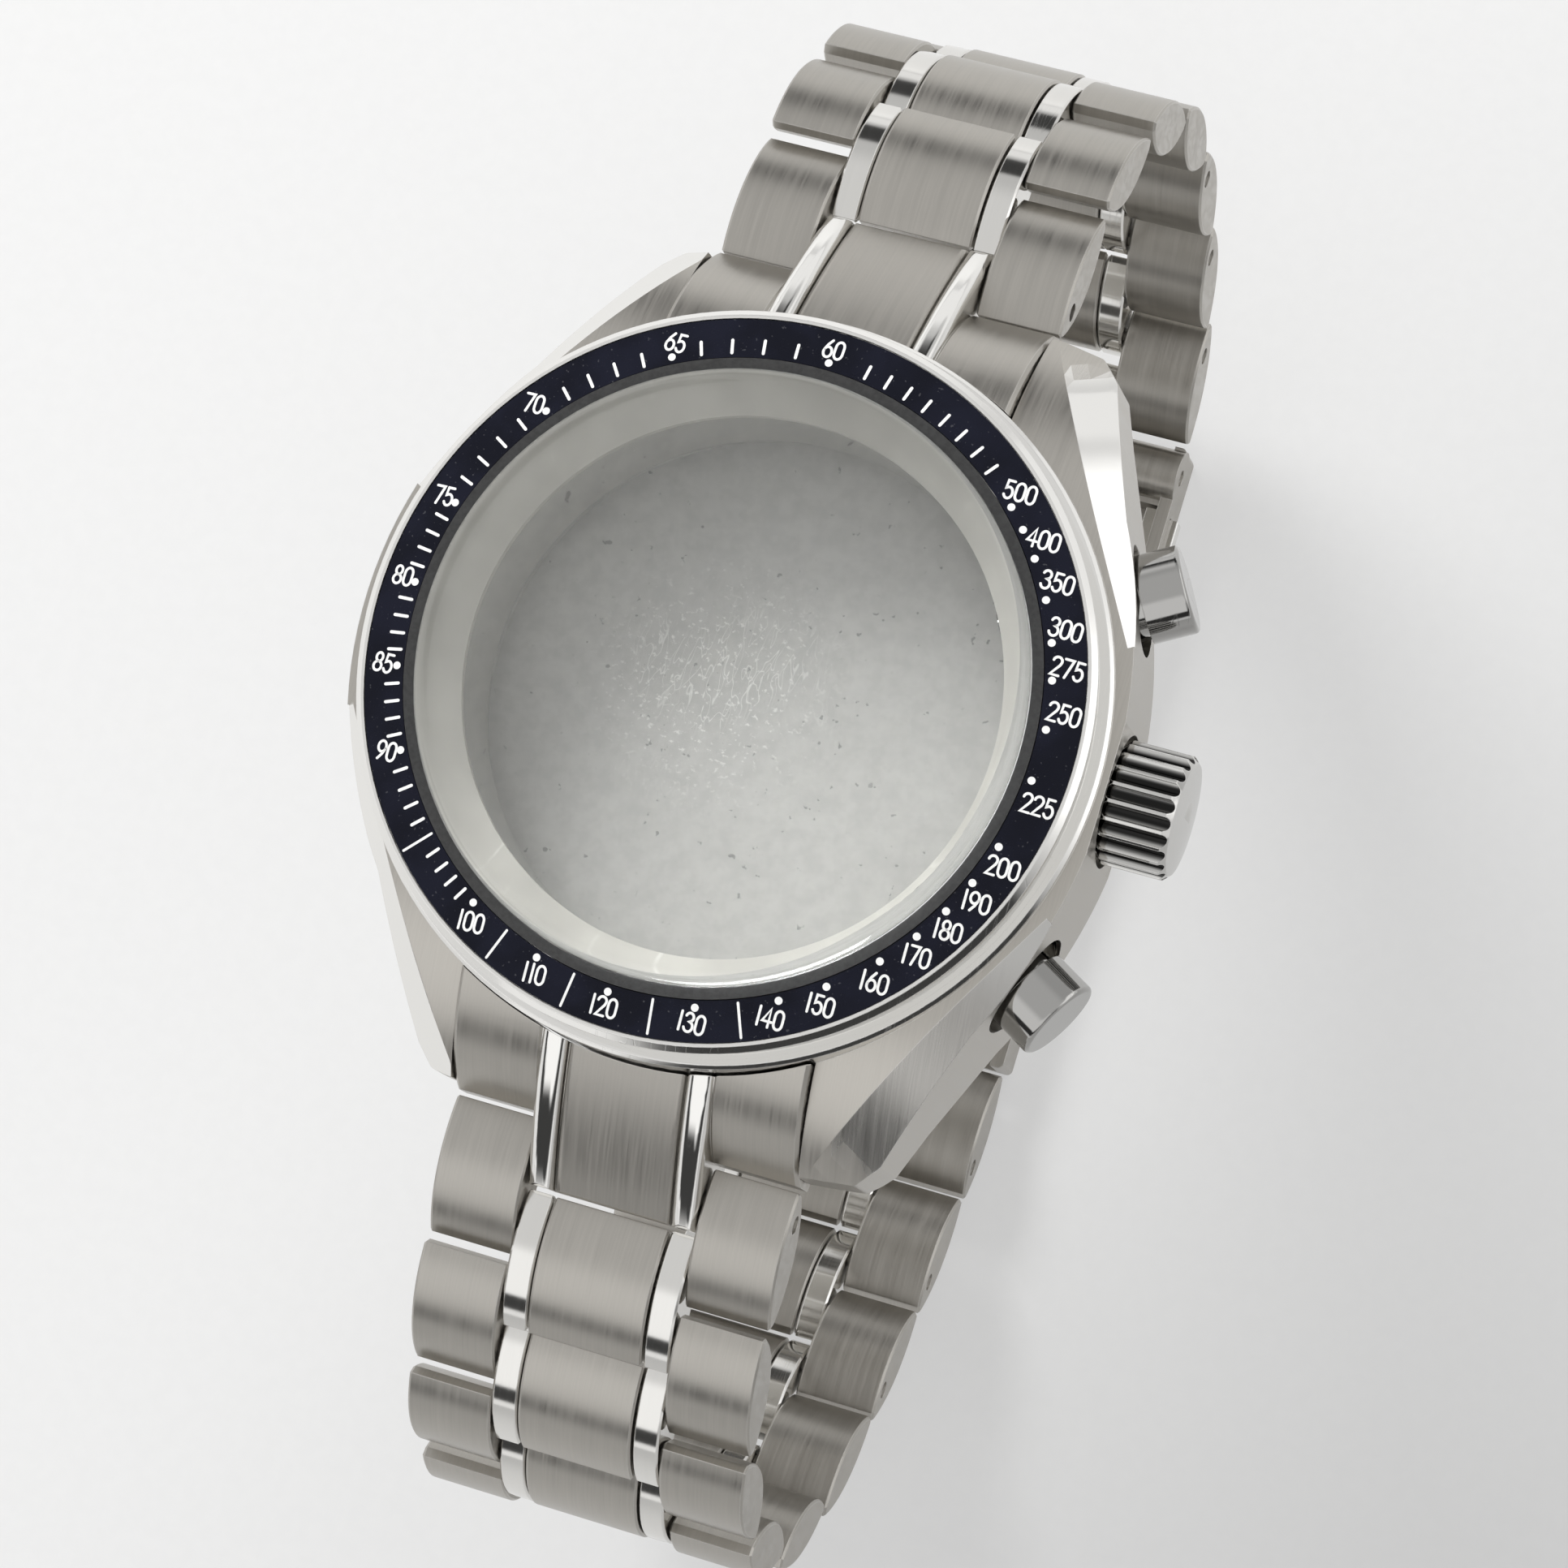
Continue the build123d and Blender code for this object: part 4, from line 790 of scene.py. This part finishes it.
class CASE_OT_bracelet(bpy.types.Operator):
    """Finish the end links and the links"""

    bl_idname = "watch_case.bracelet"
    bl_label = "Bracelet"

    def execute(self, context):
        steel = context.scene.watch_steel
        outer = make_steel("outer link steel", steel, "brushed", dim=OUTER_DIM)
        centre = make_steel("centre link steel", steel, "brushed", centre_shine, CENTRE_DIM)
        ends = make_steel("end link steel", steel, "brushed", end_link_shine, END_DIM)
        bars = make_steel("spring bar steel", steel, "satin")
        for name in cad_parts:
            if name.startswith("link_"):
                paint(name, outer if name.endswith("outer") else centre)
            elif name.startswith("end_link"):
                paint(name, ends)
            elif name.startswith("spring_bar"):
                paint(name, bars)
        return {"FINISHED"}


class CASE_OT_clasp(bpy.types.Operator):
    """Finish the folding clasp"""

    bl_idname = "watch_case.clasp"
    bl_label = "Clasp"

    def execute(self, context):
        steel = context.scene.watch_steel
        paint("clasp_cover", make_steel("cover steel", steel, "brushed"))
        blade = make_steel("blade steel", steel, "satin")
        for name in ("clasp_inner_blade", "clasp_outer_blade"):
            paint(name, blade)
        button = make_steel("button steel", steel, "polished")
        for name in ("clasp_button_right", "clasp_button_left"):
            paint(name, button)
        return {"FINISHED"}


def softbox(name, size, power, spot):
    """Soft lamp that lights the watch but isn't mirrored in its steel."""
    lamp = bpy.data.lights.new(name, "AREA")
    lamp.shape = "RECTANGLE"
    lamp.size, lamp.size_y = size
    lamp.energy = power
    held = bpy.data.objects.new(name, lamp)
    context_collection().objects.link(held)
    held.location = spot
    held.rotation_euler = (Vector(LAMP_TARGET) - Vector(spot)).to_track_quat("-Z", "Y").to_euler()
    held.visible_glossy = False


class CASE_OT_stage(bpy.types.Operator):
    """Set up the floor, the lamps and the camera"""

    bl_idname = "watch_case.stage"
    bl_label = "Floor, lamps and camera"

    def execute(self, context):
        stage = context.scene.watch_stage
        scene = context.scene
        level = CAD_BOX[0].z
        mesh = bpy.data.meshes.new("floor")
        corners = [(x * FLOOR_REACH, y * FLOOR_REACH, level) for x, y in ((-1, -1), (1, -1), (1, 1), (-1, 1))]
        mesh.from_pydata(corners, [], [(0, 1, 2, 3)])
        floor = bpy.data.objects.new("floor", mesh)
        context_collection().objects.link(floor)
        finish, tree, shader = new_finish("floor paper")
        fibre = noise(tree, place(tree), 900.0, 4.0, 0.6)
        tone = blend_colours(tree, ramp(tree, fibre, *NOISE_RANGE), scaled(stage.floor),
                             scaled(stage.floor, 0.97))
        spot = axes(tree, place(tree))
        aside = math(tree, "SUBTRACT", spot[0], times(tree, spot[1], PAINTED_SHADE_SLANT))
        # painted shade: the floor and its white darken towards the lower right
        painted_shade = ramp(tree, aside, PAINTED_SHADE_START, PAINTED_SHADE_END, 1.0, stage.floor_fall)
        fill_in(tree, shader, {"Base Color": dimmed(tree, tone, painted_shade), "Roughness": PAPER_ROUGH,
                               "Specular IOR Level": PAPER_GLOSS})
        white = node(tree, "ShaderNodeEmission", {"Color": (1, 1, 1, 1), "Strength": painted_shade})
        path = node(tree, "ShaderNodeLightPath", {}).outputs
        plain = times(tree, math(tree, "MAXIMUM", path["Is Camera Ray"], path["Is Glossy Ray"]),
                      stage.floor_white)
        both = node(tree, "ShaderNodeMixShader", {0: plain, 1: shader.outputs[0], 2: white.outputs[0]})
        fill_in(tree, tree.nodes["Material Output"], {"Surface": both.outputs[0]})
        floor.data.materials.append(finish)
        softbox("key softbox", KEY_SIZE, stage.key, KEY_PLACE)
        softbox("fill softbox", FILL_SIZE, stage.fill, FILL_PLACE)
        world = bpy.data.worlds.new("studio")
        scene.world = world
        world.use_nodes = True
        tree = world.node_tree
        back = tree.nodes["Background"]
        back.inputs["Color"].default_value = (1, 1, 1, 1)
        way = axes(tree, node(tree, "ShaderNodeTexCoord", {}).outputs["Generated"])
        room = stage.room_high
        # each wall of the room: its brightness, and for some axes a direction where it ends and one where it
        # is whole
        for bright, *ends in (
            (stage.room_front, (1, -0.2, -0.45), (2, 0.95, 0.85)),
            (stage.room_back, (1, 0.2, 0.5), (2, 0.85, 0.6)),
            (stage.room_left, (0, -0.3, -0.6), (2, 0.7, 0.5)),
            (stage.room_right, (0, 0.3, 0.5), (1, -0.15, 0.1), (2, 0.7, 0.5)),
            (stage.room_corner, (0, 0.45, 0.6), (1, -0.1, -0.25), (2, 0.7, 0.6)),
            (stage.room_low, (2, 0.16, 0.1)),
            (stage.band, (0, 0.97, 0.91), (1, -0.2, -0.34), (2, 0.38, 0.32), (2, 0.06, 0.12)),
            (stage.band, (0, 0.05, -0.05), (1, 0.72, 0.80), (2, 0.52, 0.46), (2, 0.16, 0.22)),
        ):
            there = times(tree, *(ramp(tree, way[axis], outside, inside) for axis, outside, inside in ends))
            room = blend_values(tree, there, room, bright)
        seen = node(tree, "ShaderNodeLightPath", {}).outputs["Is Camera Ray"]
        fill_in(tree, back, {"Strength": blend_values(tree, seen, room, BACKDROP)})
        camera = bpy.data.cameras.new("camera")
        camera.lens = stage.lens
        camera.sensor_width = SENSOR_WIDTH
        held = bpy.data.objects.new("camera", camera)
        context_collection().objects.link(held)
        turned = Matrix((CAMERA_RIGHT, -CAMERA_DOWN, -CAMERA_AHEAD)).transposed()
        held.matrix_world = Matrix.Translation(Vector(stage.place)) @ turned.to_4x4()
        scene.camera = held
        scene.view_settings.view_transform = "Standard"
        return {"FINISHED"}


OPERATORS = (CASE_OT_case_middle, CASE_OT_bezel, CASE_OT_insert, CASE_OT_crystal, CASE_OT_case_back,
             CASE_OT_controls, CASE_OT_bracelet, CASE_OT_clasp, CASE_OT_stage)


class CASE_PT_panel(bpy.types.Panel):
    """Lists the pieces of the watch case"""

    bl_idname = "CASE_PT_panel"
    bl_label = "Empty watch case"
    bl_space_type = "VIEW_3D"
    bl_region_type = "UI"
    bl_category = "Watch"

    def draw(self, context):
        for group in ("watch_steel", "watch_scale", "watch_glass", "watch_stage"):
            settings = getattr(context.scene, group)
            box = self.layout.box()
            for name in settings.__annotations__:
                box.prop(settings, name)
        for operator in OPERATORS:
            self.layout.operator(operator.bl_idname)


GROUPS = (("watch_steel", CASE_PG_steel), ("watch_scale", CASE_PG_scale), ("watch_glass", CASE_PG_glass),
          ("watch_stage", CASE_PG_stage))


def register():
    for name, group in GROUPS:
        bpy.utils.register_class(group)
        setattr(bpy.types.Scene, name, PointerProperty(type=group))
    for operator in (*OPERATORS, CASE_PT_panel):
        bpy.utils.register_class(operator)


def unregister():
    for operator in (CASE_PT_panel, *reversed(OPERATORS)):
        bpy.utils.unregister_class(operator)
    for name, group in reversed(GROUPS):
        delattr(bpy.types.Scene, name)
        bpy.utils.unregister_class(group)


def main():
    register()
    for operator in OPERATORS:
        group, name = operator.bl_idname.split(".")
        getattr(getattr(bpy.ops, group), name)()


if __name__ == "__main__":
    main()
